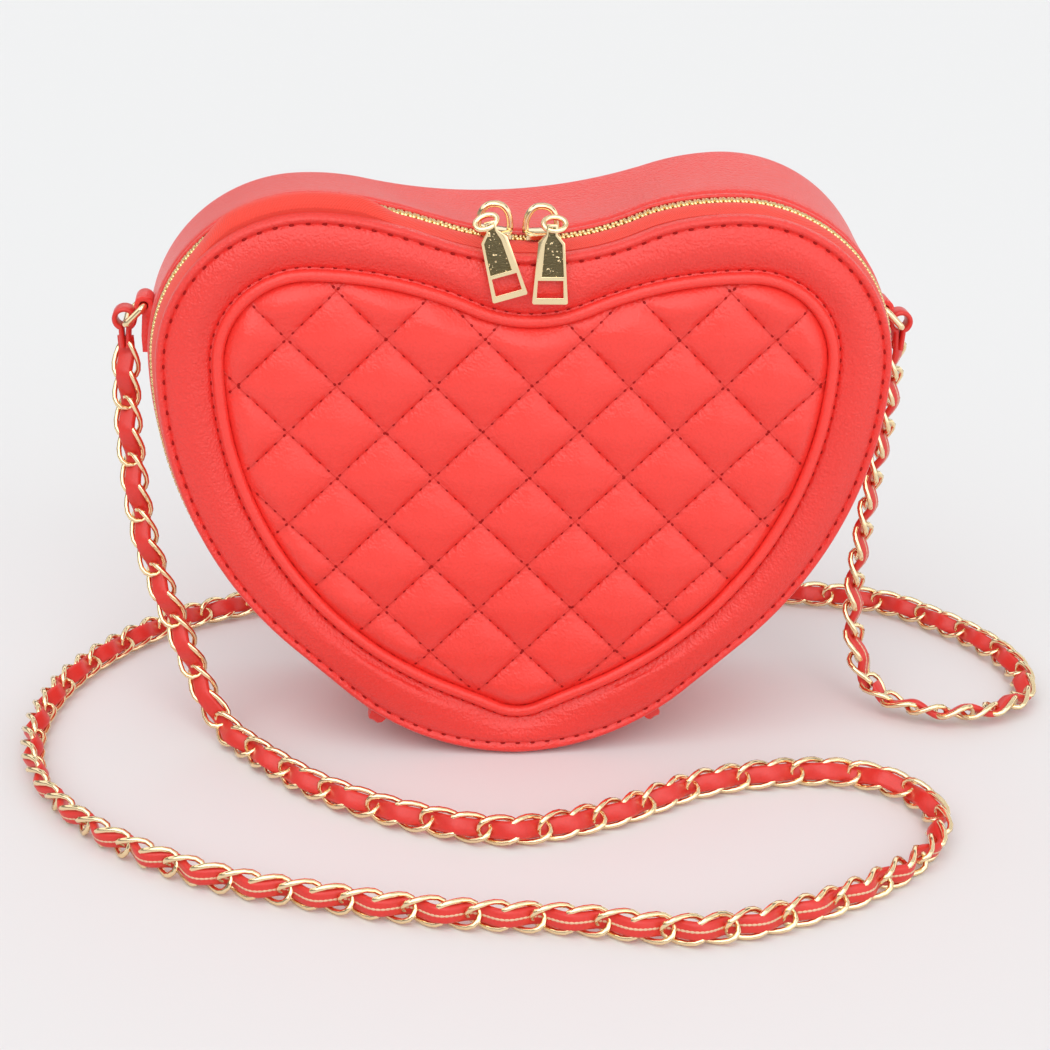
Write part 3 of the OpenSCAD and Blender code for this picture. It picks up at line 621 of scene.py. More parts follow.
def lining_cloth():
    return surface("lining cloth", grain_group, colours().lining, 0.00006, Mottling=0.05,
                   shader={"Sheen Weight": 0.3})


def board_fibre():
    return surface("fibre board", grain_group, colours().board, 0.00005, Mottling=0.2)


# Dark red beads of this stand partly for the thread and partly for painted shade in its stitch
# holes
def thread_and_hole_shade():
    return surface("thread and painted hole shade", grain_group, colours().thread, 0.00004, Mottling=0.05,
                   shader={"Specular IOR Level": 0.08})


def seam_thread():
    return surface("seam thread", grain_group, tinted(colours().quilt, 0.8, 0.8, 0.8), 0.00004,
                   Mottling=0.05, shader={"Specular IOR Level": 0.2})


def rim_highlight_metal():
    """The pulls' raised rims, in a paler gold that paints a brighter highlight on their bevels."""
    return surface("polished rim painted highlight", polish_group, (1.0, 0.92, 0.72), 0.00001, 0.3,
                   Smoothness=0.05, shader={"Metallic": 1.0})


def dark_face():
    """The pulls' sunken face, cast rough, with bright specks."""
    made = bpy.data.materials.get("sunken metal face")
    if made:
        return made
    made = surface("sunken metal face", polish_group, (0.13, 0.105, 0.055), 0.00045, 1.0,
                   Smoothness=0.16, shader={"Metallic": 1.0})
    tree = made.node_tree
    bsdf = tree.nodes["Principled BSDF"]
    plain = bsdf.inputs["Base Color"].links[0].from_socket
    where = tree.nodes.new("ShaderNodeTexCoord")
    specks = texture(tree, "ShaderNodeTexNoise", where.outputs["Object"], 1300, Detail=1.0)
    mask = math_node(tree, "GREATER_THAN", specks.outputs[0], 0.66)
    tree.links.new(colour_mix(tree, mask, plain, colours().gold), bsdf.inputs["Base Color"])
    return made


# Repeats along lines

def repeat_tree():
    """Geometry Nodes that set an item along lines, square to the surface."""
    tree = bpy.data.node_groups.get("repeat_along_lines")
    if tree:
        return tree
    tree = bpy.data.node_groups.new("repeat_along_lines", "GeometryNodeTree")
    for label, kind in (("Lines", "NodeSocketGeometry"), ("Item", "NodeSocketObject"),
                        ("Pitch", "NodeSocketFloat"), ("Size", "NodeSocketVector"),
                        ("Lift", "NodeSocketFloat"), ("Shift", "NodeSocketFloat"),
                        ("Material", "NodeSocketMaterial")):
        tree.interface.new_socket(label, in_out="INPUT", socket_type=kind)
    tree.interface.new_socket("Geometry", in_out="OUTPUT", socket_type="NodeSocketGeometry")
    add = tree.nodes.new
    start, end = add("NodeGroupInput"), add("NodeGroupOutput")
    curve, spaced = add("GeometryNodeMeshToCurve"), add("GeometryNodeResampleCurve")
    spaced.mode = "LENGTH"
    join_nodes(tree, start, "Lines", curve, "Mesh")
    join_nodes(tree, curve, "Curve", spaced, "Curve")
    join_nodes(tree, start, "Pitch", spaced, "Length")
    outward = add("GeometryNodeInputNamedAttribute")
    outward.data_type = "FLOAT_VECTOR"
    outward.inputs["Name"].default_value = "outward"
    tangent = add("GeometryNodeInputTangent")
    lift, shift, both = (add("ShaderNodeVectorMath") for _ in range(3))
    lift.operation = shift.operation = "SCALE"
    tree.links.new(outward.outputs["Attribute"], lift.inputs[0])
    tree.links.new(start.outputs["Lift"], lift.inputs["Scale"])
    tree.links.new(tangent.outputs[0], shift.inputs[0])
    tree.links.new(start.outputs["Shift"], shift.inputs["Scale"])
    tree.links.new(lift.outputs[0], both.inputs[0])
    tree.links.new(shift.outputs[0], both.inputs[1])
    along, square = (add("FunctionNodeAlignRotationToVector") for _ in range(2))
    along.axis, square.axis, square.pivot_axis = "X", "Z", "X"
    tree.links.new(tangent.outputs[0], along.inputs["Vector"])
    tree.links.new(along.outputs[0], square.inputs["Rotation"])
    tree.links.new(outward.outputs["Attribute"], square.inputs["Vector"])
    item, instances = add("GeometryNodeObjectInfo"), add("GeometryNodeInstanceOnPoints")
    join_nodes(tree, start, "Item", item, "Object")
    tree.links.new(spaced.outputs[0], instances.inputs["Points"])
    tree.links.new(item.outputs["Geometry"], instances.inputs["Instance"])
    tree.links.new(square.outputs[0], instances.inputs["Rotation"])
    join_nodes(tree, start, "Size", instances, "Scale")
    moved = add("GeometryNodeTranslateInstances")
    moved.inputs["Local Space"].default_value = False
    store = add("GeometryNodeCaptureAttribute")
    tree.links.new(spaced.outputs[0], store.inputs[0])
    store.capture_items.new("VECTOR", "Offset")
    tree.links.new(both.outputs[0], store.inputs["Offset"])
    tree.links.new(store.outputs[0], instances.inputs["Points"])
    tree.links.new(instances.outputs[0], moved.inputs["Instances"])
    tree.links.new(store.outputs["Offset"], moved.inputs["Translation"])
    plain, painted = add("GeometryNodeRealizeInstances"), add("GeometryNodeSetMaterial")
    tree.links.new(moved.outputs[0], plain.inputs[0])
    tree.links.new(plain.outputs[0], painted.inputs["Geometry"])
    join_nodes(tree, start, "Material", painted, "Material")
    tree.links.new(painted.outputs[0], end.inputs[0])
    return tree


def repeat(name, lines, item, pitch, size, material, lift=0, shift=0):
    """Items along lines of points in millimetres, each line with its outward directions."""
    points, edges, outward = [], [], []
    for line, out in lines:
        first = len(points)
        points += (np.asarray(line) * MM).tolist()
        outward += np.broadcast_to(out, (len(line), 3)).tolist()
        edges += [(first + i, first + i + 1) for i in range(len(line) - 1)]
    mesh = bpy.data.meshes.new(name)
    mesh.from_pydata(points, edges, [])
    attribute = mesh.attributes.new("outward", "FLOAT_VECTOR", "POINT")
    attribute.data.foreach_set("vector", np.array(outward, np.float32).ravel())
    made = add_object(name, mesh)
    tree = repeat_tree()
    modifier = made.modifiers.new("repeat", "NODES")
    modifier.node_group = tree
    values = {"Item": item, "Pitch": pitch * MM, "Size": [s * MM for s in size], "Lift": lift * MM,
              "Shift": shift * MM, "Material": material}
    for socket in tree.interface.items_tree:
        if socket.in_out == "INPUT" and socket.name in values:
            modifier[socket.identifier] = values[socket.name]
    graph = bpy.context.evaluated_depsgraph_get()
    plain = bpy.data.meshes.new_from_object(made.evaluated_get(graph))
    made.modifiers.remove(modifier)
    made.data = plain
    plain.name = name
    if len(plain.polygons) == 0:
        raise RuntimeError(f"{name} came out empty")
    return made


def helper(name, fill):
    """A small mesh that a tree repeats, kept only while the tree runs."""
    mesh = bpy.data.meshes.new(name)
    shape = bmesh.new()
    fill(shape)
    bmesh.ops.recalc_face_normals(shape, faces=shape.faces)
    shape.to_mesh(mesh)
    shape.free()
    mesh.shade_smooth()
    return add_object(name, mesh)


def bead_item():
    return helper("bead", lambda shape: bmesh.ops.create_uvsphere(
        shape, u_segments=8, v_segments=5, radius=0.5))


def tooth_item():
    """A block with rounded edges."""
    def fill(shape):
        bmesh.ops.create_cube(shape, size=1)
        bmesh.ops.bevel(shape, geom=shape.edges[:] + shape.verts[:], offset=0.22, segments=1,
                        affect="EDGES")
    return helper("tooth", fill)


def link_item(wire):
    """One twisted link of a curb chain, in metres."""
    def fill(shape):
        turns, sides = 18, 6
        long, wide, twist = 6.0, 3.6, 1.75
        a = round_angles(turns)
        line = np.column_stack([long * np.cos(a), wide * np.sin(a), -twist * np.sin(2 * a)]) * MM
        heading = unit(np.roll(line, -1, 0) - np.roll(line, 1, 0))
        across = unit(np.cross(heading, [0, 0, 1]))
        up = np.cross(across, heading)
        rows = []
        for i in range(turns):
            rays = [math.cos(b) * across[i] + math.sin(b) * up[i] for b in round_angles(sides)]
            rows.append([shape.verts.new(line[i] + wire / 2 * ray) for ray in rays])
        for i in range(turns):
            for j in range(sides):
                k, l = (i + 1) % turns, (j + 1) % sides
                shape.faces.new((rows[i][j], rows[i][l], rows[k][l], rows[k][j]))
    return helper("link", fill)


def drop(*helpers):
    for made in helpers:
        bpy.data.objects.remove(made)


def merge(first, *others):
    """Moves the meshes of like pieces into the first one."""
    joined = bmesh.new()
    for made in (first, *others):
        joined.from_mesh(made.data)
    joined.to_mesh(first.data)
    joined.free()
    for made in others:
        bpy.data.objects.remove(made)
    return first


# The strap's route, the same stops as in the source
ROUTE = [
    (-114.9, 4.8, 119.93),
    (-114.5, -0.5, 93), (-110.5, -6.5, 61), (-101, -11.5, 33), (-93.5, -15.5, 14),
    (-86, -25, 5), (-74, -42, 4), (-58, -60, 4), (-34, -76, 4), (-6, -85, 4), (24, -76, 4),
    (52, -60, 4), (84, -54, 4), (106, -60, 4), (116, -79, 4), (107, -102, 4), (76, -125, 4),
    (40, -137, 4), (6, -131, 4), (-28, -126, 4), (-60, -117, 4), (-92, -104, 4), (-121, -80, 4),
    (-140, -48, 4), (-143, -10, 4), (-130, 28, 4), (-98, 62, 4), (-40, 82, 4), (40, 83, 4),
    (124, 71, 4), (152, 50, 4), (167, 20, 4), (164, -6, 4), (146, -17, 4), (128, -14.5, 4),
    (114, -4, 10), (108.5, 1.5, 32), (110.5, 3.5, 66), (114, 4.5, 94),
    (114.9, 4.8, 119.93),
]
# Stops at which the strap's smooth face looks a given way
FACING = {
    0: (-0.35, -0.93, 0.1), 4: (-0.35, -0.93, 0.1), 6: (0, -0.9, 0.45), 12: (0, -0.9, 0.45),
    14: (-0.8, 0, 0.6), 16: (0, 0.9, -0.3), 21: (0.3, 0.85, 0.1), 24: (0.85, 0, 0.5),
    27: (0, -0.9, 0.45), 29: (-0.3, -0.9, 0.4), 31: (-1, 0, 0.6), 33: (0, 0.45, 0.9),
    35: (-0.6, 0.5, 0.5), 39: (-0.85, 0.5, 0),
}
# The strap's least height over the floor, how far the strip weaves, and its straight ends
STRAP_FLOOR = 4.6
STRAP_WEAVE = 1.6
STRAP_STRAIGHT = 10


def strap_line():
    """Points down the middle of the strap, their headings and the way its face looks."""
    stops = np.array(ROUTE, float)
    ends = np.vstack([2 * stops[0] - stops[1], stops, 2 * stops[-1] - stops[-2]])
    keys = sorted(FACING)
    facing = np.column_stack([np.interp(range(len(stops)), keys, [FACING[k][a] for k in keys])
                              for a in range(3)])
    points, faces = [], []
    for i in range(len(stops) - 1):
        a, b, c, d = ends[i:i + 4]
        n = max(2, int(round(np.linalg.norm(c - b))))
        for t in np.arange(n) / n:
            points.append(b + (c - a) * t / 2 + (2 * a - 5 * b + 4 * c - d) * t ** 2 / 2
                          + (3 * b - a - 3 * c + d) * t ** 3 / 2)
            faces.append(facing[i] * (1 - t) + facing[i + 1] * t)
    points.append(stops[-1])
    faces.append(facing[-1])
    points, faces = np.array(points), np.array(faces)
    points[:, 2] = np.maximum(points[:, 2], STRAP_FLOOR)
    heading = unit(np.gradient(points, axis=0))
    normal = unit(faces - heading * np.sum(faces * heading, axis=1, keepdims=True))
    return points, heading, normal


class PurseStep:
    """What the purse's operators share."""

    bl_options = {"REGISTER", "UNDO"}


class PURSE_OT_stage(PurseStep, bpy.types.Operator):
    """Sets the camera, the pale floor and the studio light"""

    bl_idname = "purse.stage"
    bl_label = "Stage"

    def execute(self, context):
        scene = context.scene
        scene.view_settings.view_transform = "Standard"
        lens = bpy.data.cameras.new("camera")
        lens.lens = LENS
        lens.sensor_width = 36
        lens.clip_start = 0.01
        camera = add_object("camera", lens)
        forward = Vector(CAMERA_FORWARD).normalized()
        right = Vector(CAMERA_RIGHT).normalized()
        up = right.cross(forward)
        turn = Matrix((right, up, -forward)).transposed()
        camera.matrix_world = Matrix.Translation(CAMERA_PLACE) @ turn.to_4x4()
        scene.camera = camera
        self.floor()
        self.world(scene)
        self.lamps()
        return {"FINISHED"}

    def floor(self):
        mesh = bpy.data.meshes.new("floor")
        half = FLOOR_HALF
        mesh.from_pydata([(-half, -half, 0), (half, -half, 0), (half, half, 0), (-half, half, 0)],
                         [], [(0, 1, 2, 3)])
        paper = bpy.data.materials.new("pale paper")
        paper.use_nodes = True
        bsdf = paper.node_tree.nodes["Principled BSDF"]
        bsdf.inputs["Base Color"].default_value = (0.79, 0.80, 0.81, 1)
        bsdf.inputs["Roughness"].default_value = 0.9
        bsdf.inputs["Specular IOR Level"].default_value = 0.1
        mesh.materials.append(paper)
        floor = add_object("floor", mesh)

    def world(self, scene):
        world = bpy.data.worlds.new("studio")
        world.use_nodes = True
        scene.world = world
        tree = world.node_tree
        soft = tree.nodes["Background"]
        output = tree.nodes["World Output"]
        where = tree.nodes.new("ShaderNodeTexCoord")
        split = tree.nodes.new("ShaderNodeSeparateXYZ")
        tree.links.new(where.outputs["Generated"], split.inputs[0])
        # A bright sweep behind the bag and overhead, and a darker room in front of it
        up = tree.nodes.new("ShaderNodeMapRange")
        tree.links.new(math_node(tree, "MULTIPLY_ADD", split.outputs[2], 0.8, split.outputs[1]),
                       up.inputs["Value"])
        for label, value in (("From Min", -0.7), ("From Max", 0.7),
                             ("To Min", 0.30), ("To Max", 0.85)):
            up.inputs[label].default_value = value
        tree.links.new(up.outputs[0], soft.inputs["Strength"])
        soft.inputs["Color"].default_value = (1, 0.99, 0.98, 1)
        shown = tree.nodes.new("ShaderNodeBackground")
        shown.inputs["Color"].default_value = (0.88, 0.88, 0.90, 1)
        path, mix = tree.nodes.new("ShaderNodeLightPath"), tree.nodes.new("ShaderNodeMixShader")
        tree.links.new(path.outputs["Is Camera Ray"], mix.inputs[0])
        tree.links.new(self.boxes(tree, split, path, soft), mix.inputs[1])
        tree.links.new(shown.outputs[0], mix.inputs[2])
        tree.links.new(mix.outputs[0], output.inputs["Surface"])

    def boxes(self, tree, split, path, soft):
        """Soft boxes and dark gaps that only mirror-like rays see."""
        ramp = tree.nodes.new("ShaderNodeValToRGB")
        height = math_node(tree, "MULTIPLY_ADD", split.outputs[2], 0.5, 0.5)
        side = math_node(tree, "MULTIPLY_ADD", split.outputs[0], 0.12, height)
        tree.links.new(side, ramp.inputs[0])
        while len(ramp.color_ramp.elements) < len(SOFT_BOXES):
            ramp.color_ramp.elements.new(0.5)
        for stop, (at, value) in zip(ramp.color_ramp.elements, SOFT_BOXES):
            stop.position = at
            stop.color = (value, value, value, 1)
        shine = tree.nodes.new("ShaderNodeBackground")
        tree.links.new(ramp.outputs["Color"], shine.inputs["Color"])
        shine.inputs["Strength"].default_value = 1.2
        mix = tree.nodes.new("ShaderNodeMixShader")
        tree.links.new(path.outputs["Is Glossy Ray"], mix.inputs[0])
        tree.links.new(soft.outputs[0], mix.inputs[1])
        tree.links.new(shine.outputs[0], mix.inputs[2])
        return mix.outputs[0]

    def lamps(self):
        for name, place, spread, power in LAMPS:
            light = bpy.data.lights.new(name, "SUN")
            light.angle = math.radians(spread)
            light.energy = power
            lamp = add_object(name, light)
            lamp.matrix_world = (-Vector(place)).to_track_quat("-Z", "Y").to_matrix().to_4x4()


class PURSE_OT_strap(PurseStep, bpy.types.Operator):
    """Lays the chain strap with its woven leather strip and its end loops"""

    bl_idname = "purse.strap"
    bl_label = "Strap"

    def execute(self, context):
        points, heading, normal = strap_line()
        across = np.cross(heading, normal)
        run = distances(points)
        pitch = sizes().link_pitch / MM
        # The chain is a whole number of links, and the strip leaves its loops straight
        links = int((run[-1] - STRAP_STRAIGHT) / pitch)
        start = (run[-1] - links * pitch) / 2
        calm = np.clip(np.minimum(run, run[-1] - run) / STRAP_STRAIGHT, 0, 1)
        weave = STRAP_WEAVE * np.cos(math.pi * (run - start - pitch / 2) / pitch) * calm
        middle = points + normal * weave[:, None]
        strip_heading = unit(np.gradient(middle, axis=0))
        strip_normal = unit(np.cross(across, strip_heading))
        section = rounded_section(sizes().strip_width / MM, 2.1, 0.95)
        sections = swept(middle, across, strip_normal, section)
        leather = surface("strap leather", grain_group,
                          tinted(colours().leather, 0.85, 0.9, 0.9), 0.00008)
        strip = section_piece("strap_strip", sections, leather, 50)
        link = link_item(sizes().link_wire)
        cut = np.concatenate([[start], run[(run > start + 0.2) & (run < run[-1] - start - 0.2)],
                              [run[-1] - start]])
        chain_line = along_line(cut, run, points)
        chain_face = unit(along_line(cut, run, normal))
        length = np.sum(np.linalg.norm(np.diff(chain_line, axis=0), axis=1))
        chain = repeat("strap_chain", [(chain_line, chain_face)], link, length / links * 0.9999,
                       (1000, 1000, 1000), gold_metal())
        bead = bead_item()
        cream = surface("cream thread", grain_group, (0.80, 0.52, 0.33), 0.00003)
        seam_out = -strip_normal[6:-6]
        seam = repeat("strap_seam", [(middle[6:-6] + seam_out * 1.02, seam_out)],
                      bead, 1.3, (1.6, 0.75, 0.25), cream)
        drop(link, bead)
        finish_piece(strip, "bag_body", "red_leather", "strap_cord")
        finish_piece(chain, "bag_body", "gold_metal")
        finish_piece(seam, "bag_body", "red_leather")
        self.end_loop("left", -1, leather)
        self.end_loop("right", 1, leather)
        return {"FINISHED"}

    def end_loop(self, side, sign, leather):
        """The strip's end, folded round the ring's outer bar and sewn to itself."""
        bar = SEAT + RING_BAR
        low = ROUTE[0][2] - 3
        radius, half_gap = 2.9, 0.75
        turns = np.radians(np.linspace(-68, 248, 30))
        ring = np.column_stack([bar.x + radius * np.cos(turns), bar.z + radius * np.sin(turns)])
        tail = np.linspace(0, 1, 8)[1:, None]
        first = ring[0] + tail * (np.array([bar.x + half_gap, low]) - ring[0])
        last = ring[-1] + tail * (np.array([bar.x - half_gap, low]) - ring[-1])
        line = np.vstack([first[::-1], ring, last])
        line = np.column_stack([line[:, 0] * sign, np.full(len(line), SEAT.y), line[:, 1]])
        heading = unit(np.gradient(line, axis=0))
        wide = np.tile([0, 1.0, 0], (len(line), 1))
        sections = swept(line, wide, np.cross(wide, heading), rounded_section(6, 1.4, 0.6))
        loop = section_piece(f"{side}_strap_loop", sections, leather, 50)
        finish_piece(loop, "bag_body", "red_leather", f"{side}_strap_end")


class PURSE_OT_front(PurseStep, bpy.types.Operator):
    """Shapes the front's smooth leather border with its turned edge, and the piping"""

    bl_idname = "purse.front"
    bl_label = "Front leather"

    def execute(self, context):
        # Share of the way to the quilted heart, growth over the bag's and the heart's outline,
        # and depth
        profile = (
            (0, -3.6, 0, 5.0), (0, -2.0, 0, 5.0), (0, -1.2, 0, 4.8), (0, -0.75, 0, 4.1),
            (0, -0.6, 0, 2.9), (0, -0.65, 0, 1.7), (0, -0.85, 0, 0.8), (0, -1.2, 0, 0.2),
            (0, -1.6, 0, -0.1), (0, -2.0, 0, -0.1), (0, -2.45, 0, 0.12), (0, -2.8, 0, 0.5),
            (0, -EDGE_SEAM, 0, 0.75), (0, -3.4, 0, 0.45), (0, -3.9, 0, -0.05),
            (0.05, -5.0, 5.0, -0.65), (0.2, -5.4, 5.0, -1.2),
            (0.4, -5.4, 5.0, -1.5), (0.6, -5.4, 5.0, -1.4), (0.8, -5.4, 5.0, -0.8),
            (1, 0, 5.2, -0.1), (1, 0, 4.4, 0.25), (1, 0, 3.9, 0.6), (1, 0, 3.6, 0.95),
            (1, 0, 3.3, 0.65), (1, 0, 2.8, 0.6), (1, 0, 2.0, 1.2),
            (1, 0, 0.3, 1.7), (0, -3.0, 0, 1.7),
        )
        tip = tip_share()
        rows = []
        for k, g, p, t in profile:
            drawn_in = TIP_INSET * tip * min(-min(g, 0) / EDGE_SEAM, 1)
            forward = TIP_FORWARD * tip * max(1 - 3 * k, 0) * (t < 1.2) * (g < 0)
            line = grown(BAG_LINE, g - drawn_in) * (1 - k) + grown(PAD_LINE, p) * k
            rows.append(placed(line, t - forward, FRONT_RISE * (1 - k)))
        border = loft_piece("front_leather", rows, smooth_leather(), smooth=70)
        finish_piece(border, "front_cover", "red_leather", "front_edge_roll", "front_band")
        r = sizes().piping / MM / 2
        rows = [placed(grown(PAD_LINE, 1.45 + r * math.cos(a)), 0.1 - r * math.sin(a))
                for a in round_angles(14)]
        piping = loft_piece("piping", rows, quilt_leather(), smooth=180)
        finish_piece(piping, "front_cover", "red_leather", "inner_piping")
        dress("front_board", board_fibre())
        dress("front_lining", lining_cloth())
        return {"FINISHED"}


def pad_distance(x, z):
    """Distance of points outside the quilted heart's outline, negative inside it."""
    points, outward = PAD_LINE
    q = np.column_stack([x, z])
    out = np.empty(len(q))
    for k in range(0, len(q), 4000):
        part = q[k:k + 4000]
        away = part[:, None, :] - points[None]
        near = np.argmin(np.sum(away ** 2, axis=2), axis=1)
        out[k:k + 4000] = np.sum(away[np.arange(len(part)), near] * outward[near], axis=1)
    return out


def quilt_depth(u, v, d):
    """Depth of the quilted face, and how deep it lies in a fold."""
    def rise(a):
        share = np.abs(2 * np.mod(a / QUILT_SIDE, 1) - 1)
        return (1 - share ** 2.2) ** 0.72
    puff = rise(u) * rise(v)
    inside = np.clip(-d / 7, 0, 1)
    edge = 1 - (1 - inside) ** 2.2
    ripple = 0.12 * np.sin(u * 0.61 + 1.3) * np.sin(v * 0.53 + 0.4)
    height = sizes().puff / MM
    return 0.9 - edge * (1.75 + height * puff + ripple * puff), 1 - puff


class PURSE_OT_quilt(PurseStep, bpy.types.Operator):
    """Pads the heart and sews it in diamonds"""

    bl_idname = "purse.quilt"
    bl_label = "Quilted heart"

    def execute(self, context):
        step = QUILT_SIDE / QUILT_STEPS
        reach = 145
        line = np.arange(-reach, reach + 1) * step
        i, j = np.meshgrid(np.arange(len(line)), np.arange(len(line)), indexing="ij")
        u, v = line[i].ravel(), line[j].ravel()
        x, z = quilt_place(u, v)
        margin, far_off = 2, 9.0
        near = (abs(x) < PAD[0] / 2 + margin) & (z > PAD[2] - margin) & (z < PAD[1] + margin)
        d = np.full(len(x), far_off)
        d[near] = pad_distance(x[near], z[near])
        inside = (d < 0.8).reshape(i.shape)
        quads = inside[:-1, :-1] & inside[1:, :-1] & inside[1:, 1:] & inside[:-1, 1:]
        n = len(line)
        corner = (i * n + j)[:-1, :-1][quads]
        cells = np.column_stack([corner, corner + n, corner + n + 1, corner + 1])
        used = np.unique(cells)
        new = np.full(n * n, -1)
        new[used] = np.arange(len(used))
        cells = new[cells]
        depth, fold = quilt_depth(u[used], v[used], d[used])
        face = np.column_stack([x[used], FRONT_Y + depth, z[used] + LIFT])
        back = face.copy()
        back[:, 1] = FRONT_Y + PAD_BACK
        count = len(used)
        open_edges = {}
        for a, b in zip(cells.ravel(), np.roll(cells, -1, axis=1).ravel()):
            key = (min(a, b), max(a, b))
            open_edges[key] = None if key in open_edges else (int(a), int(b))
        faces = cells.tolist() + (cells[:, ::-1] + count).tolist()
        faces += [(b, a, a + count, b + count) for a, b in filter(None, open_edges.values())]
        pad = piece("quilted_heart", np.vstack([face, back]), faces, quilt_leather(), smooth=80)
        # The fold attribute carries painted shade into the seams' folds for the colour, and the
        # puckers' relief
        shade = pad.data.attributes.new("fold", "FLOAT", "POINT")
        dark = np.concatenate([np.clip((fold - 0.15) / 0.85, 0, 1) ** 1.4, np.zeros(count)])
        shade.data.foreach_set("value", dark.astype(np.float32))
        finish_piece(pad, "front_cover", "red_leather", "quilted_pad")
        return {"FINISHED"}


class PURSE_OT_stitches(PurseStep, bpy.types.Operator):
    """Sews the border's two rows and the quilting with thread"""

    bl_idname = "purse.stitches"
    bl_label = "Stitches"

    def execute(self, context):
        bead = bead_item()
        out = (0, -1, 0)
        tip = tip_share()
        edge = looped(placed(grown(BAG_LINE, -EDGE_SEAM - TIP_INSET * tip),
                             0.5 - TIP_FORWARD * tip, FRONT_RISE))
        inner = looped(placed(grown(PAD_LINE, 3.6), 0.8))
        # The border rows' dark beads are partly thread and partly painted shade in the stitch holes
        row = repeat("edge_stitches", [(edge, out)], bead, sizes().stitch / MM, (1.5, 0.8, 0.55),
                     thread_and_hole_shade())
        second = repeat("inner_stitches", [(inner, out)], bead, 3.5, (1.2, 0.7, 0.5),
                        thread_and_hole_shade())
        finish_piece(merge(row, second), "front_cover", "red_leather")
        lines = self.quilt_lines()
        threads = repeat("quilt_threads", lines, bead, QUILT_STITCH, (2.7, 0.42, 0.25),
                         seam_thread(), lift=0.02, shift=1.7)
        # Dark dots at each stitch hole, painted shade of the holes
        hole_shade_dots = repeat("quilt_holes", lines, bead, QUILT_STITCH, (1.1, 0.9, 0.5),
                      thread_and_hole_shade(), lift=0.02)
        finish_piece(threads, "front_cover", "red_leather")
        finish_piece(hole_shade_dots, "front_cover", "red_leather")
        drop(bead)
        return {"FINISHED"}

    def quilt_lines(self):
        """Runs of the diamond seams that lie on the quilted heart."""
        lines = []
        along = np.arange(-130, 131, 0.8)
        for k in range(-8, 9):
            for turned in (False, True):
                fixed = np.full(len(along), k * QUILT_SIDE)
                u, v = (along, fixed) if turned else (fixed, along)
                x, z = quilt_place(u, v)
                d = pad_distance(x, z)
                depth, _ = quilt_depth(u, v, d)
                points = np.column_stack([x, FRONT_Y + depth, z + LIFT])
                sewn = d < -1.5
                cuts = np.flatnonzero(sewn[1:] != sewn[:-1]) + 1
                for run in np.split(np.arange(len(points)), cuts):
                    if sewn[run[0]] and len(run) > 8:
                        lines.append((points[run], (0, -1, 0)))
        return lines


class PURSE_OT_zip(PurseStep, bpy.types.Operator):
    """Builds the zip's tapes and its two rows of teeth"""

    bl_idname = "purse.zip"
    bl_label = "Zip"

    def execute(self, context):
        x, z = BAG_LINE[0].T
        # The tape is pushed up on the left, where it hides the teeth
        swell = np.clip(1.6 - 1.6 * ((x + 65) / 29) ** 2, 0, 1) * (z > 90)
        outer = 0.8 + 3.5 * swell ** 1.5
        # Growth and depth of the tape's inner and outer side, from the front
        inner_side = ((-4.5, 4.3), (-4.5, 5.1), (-1.6, 5.3), (-0.8, 6.6), (-0.3, 8.2))
        outer_side = ((-1.1, 4.3), (-0.8, 5.0), (-0.4, 5.8), (0, 6.6), (0.3, 7.4), (0.55, 8.2),
                      (0.7, 9.0), (0.75, 9.7), (0.6, 10.2), (0.3, 10.4))
        rows = [placed(grown(BAG_LINE, g), t, 1) for g, t in inner_side]
        for g, t in outer_side[::-1]:
            bulge = math.sin(math.pi * (t - 3.4) / 8.0) ** 0.8
            rows.append(placed(grown(BAG_LINE, g + (outer - 0.8) * bulge), t, 1))
        tape = loft_piece("front_tape", rows, zip_tape(), ROUND_TOP, smooth=60, uv=True)
        finish_piece(tape, "front_cover", "zip_tape", "front_zip_tape")
        dress("rear_zip_tape", surface("rear tape", grain_group, colours().tape, 0.0001))
        tooth = tooth_item()
        self.row("front_teeth", tooth, "front_cover", "front_zip_teeth", 10.9, 11.35, 0)
        self.row("rear_teeth", tooth, "bag_body", "rear_zip_teeth", 13.1, 12.65, 1)
        drop(tooth)
        return {"FINISHED"}

    def row(self, name, tooth, body, node, dip_t, side_t, odd):
        """One row, which reaches towards the other except under the sliders."""
        pitch = sizes().tooth_pitch / MM
        points = grown(BAG_LINE, 0.45)[ROUND_TOP]
        out = BAG_LINE[1][ROUND_TOP]
        out = np.column_stack([out[:, 0], np.zeros(len(out)), out[:, 1]])
        run = distances(points)
        count = int(run[-1] / pitch)
        made = []
        # Each tooth is set at the start of its own line, 1 mm long, and shifted to the middle
        for dip, reach, t in ((False, 2.5, side_t), (True, 1.35, dip_t)):
            lines = []
            for k in range(1, count):
                s = (k + odd / 2) * pitch
                where = along_line([s - 0.5, s + 0.5], run, points)
                mid = where.mean(axis=0)
                if (abs(mid[0]) < DIP_HALF and mid[1] > BAG[1] / 2) != dip:
                    continue
                lines.append((placed(where, t, 1), along_line([s], run, out)))
            made.append(repeat(name, lines, tooth, 2.0, (1.15, reach, 1.9), zip_metal(),
                               shift=0.5))
        finish_piece(merge(*made), body, "gold_metal", node)


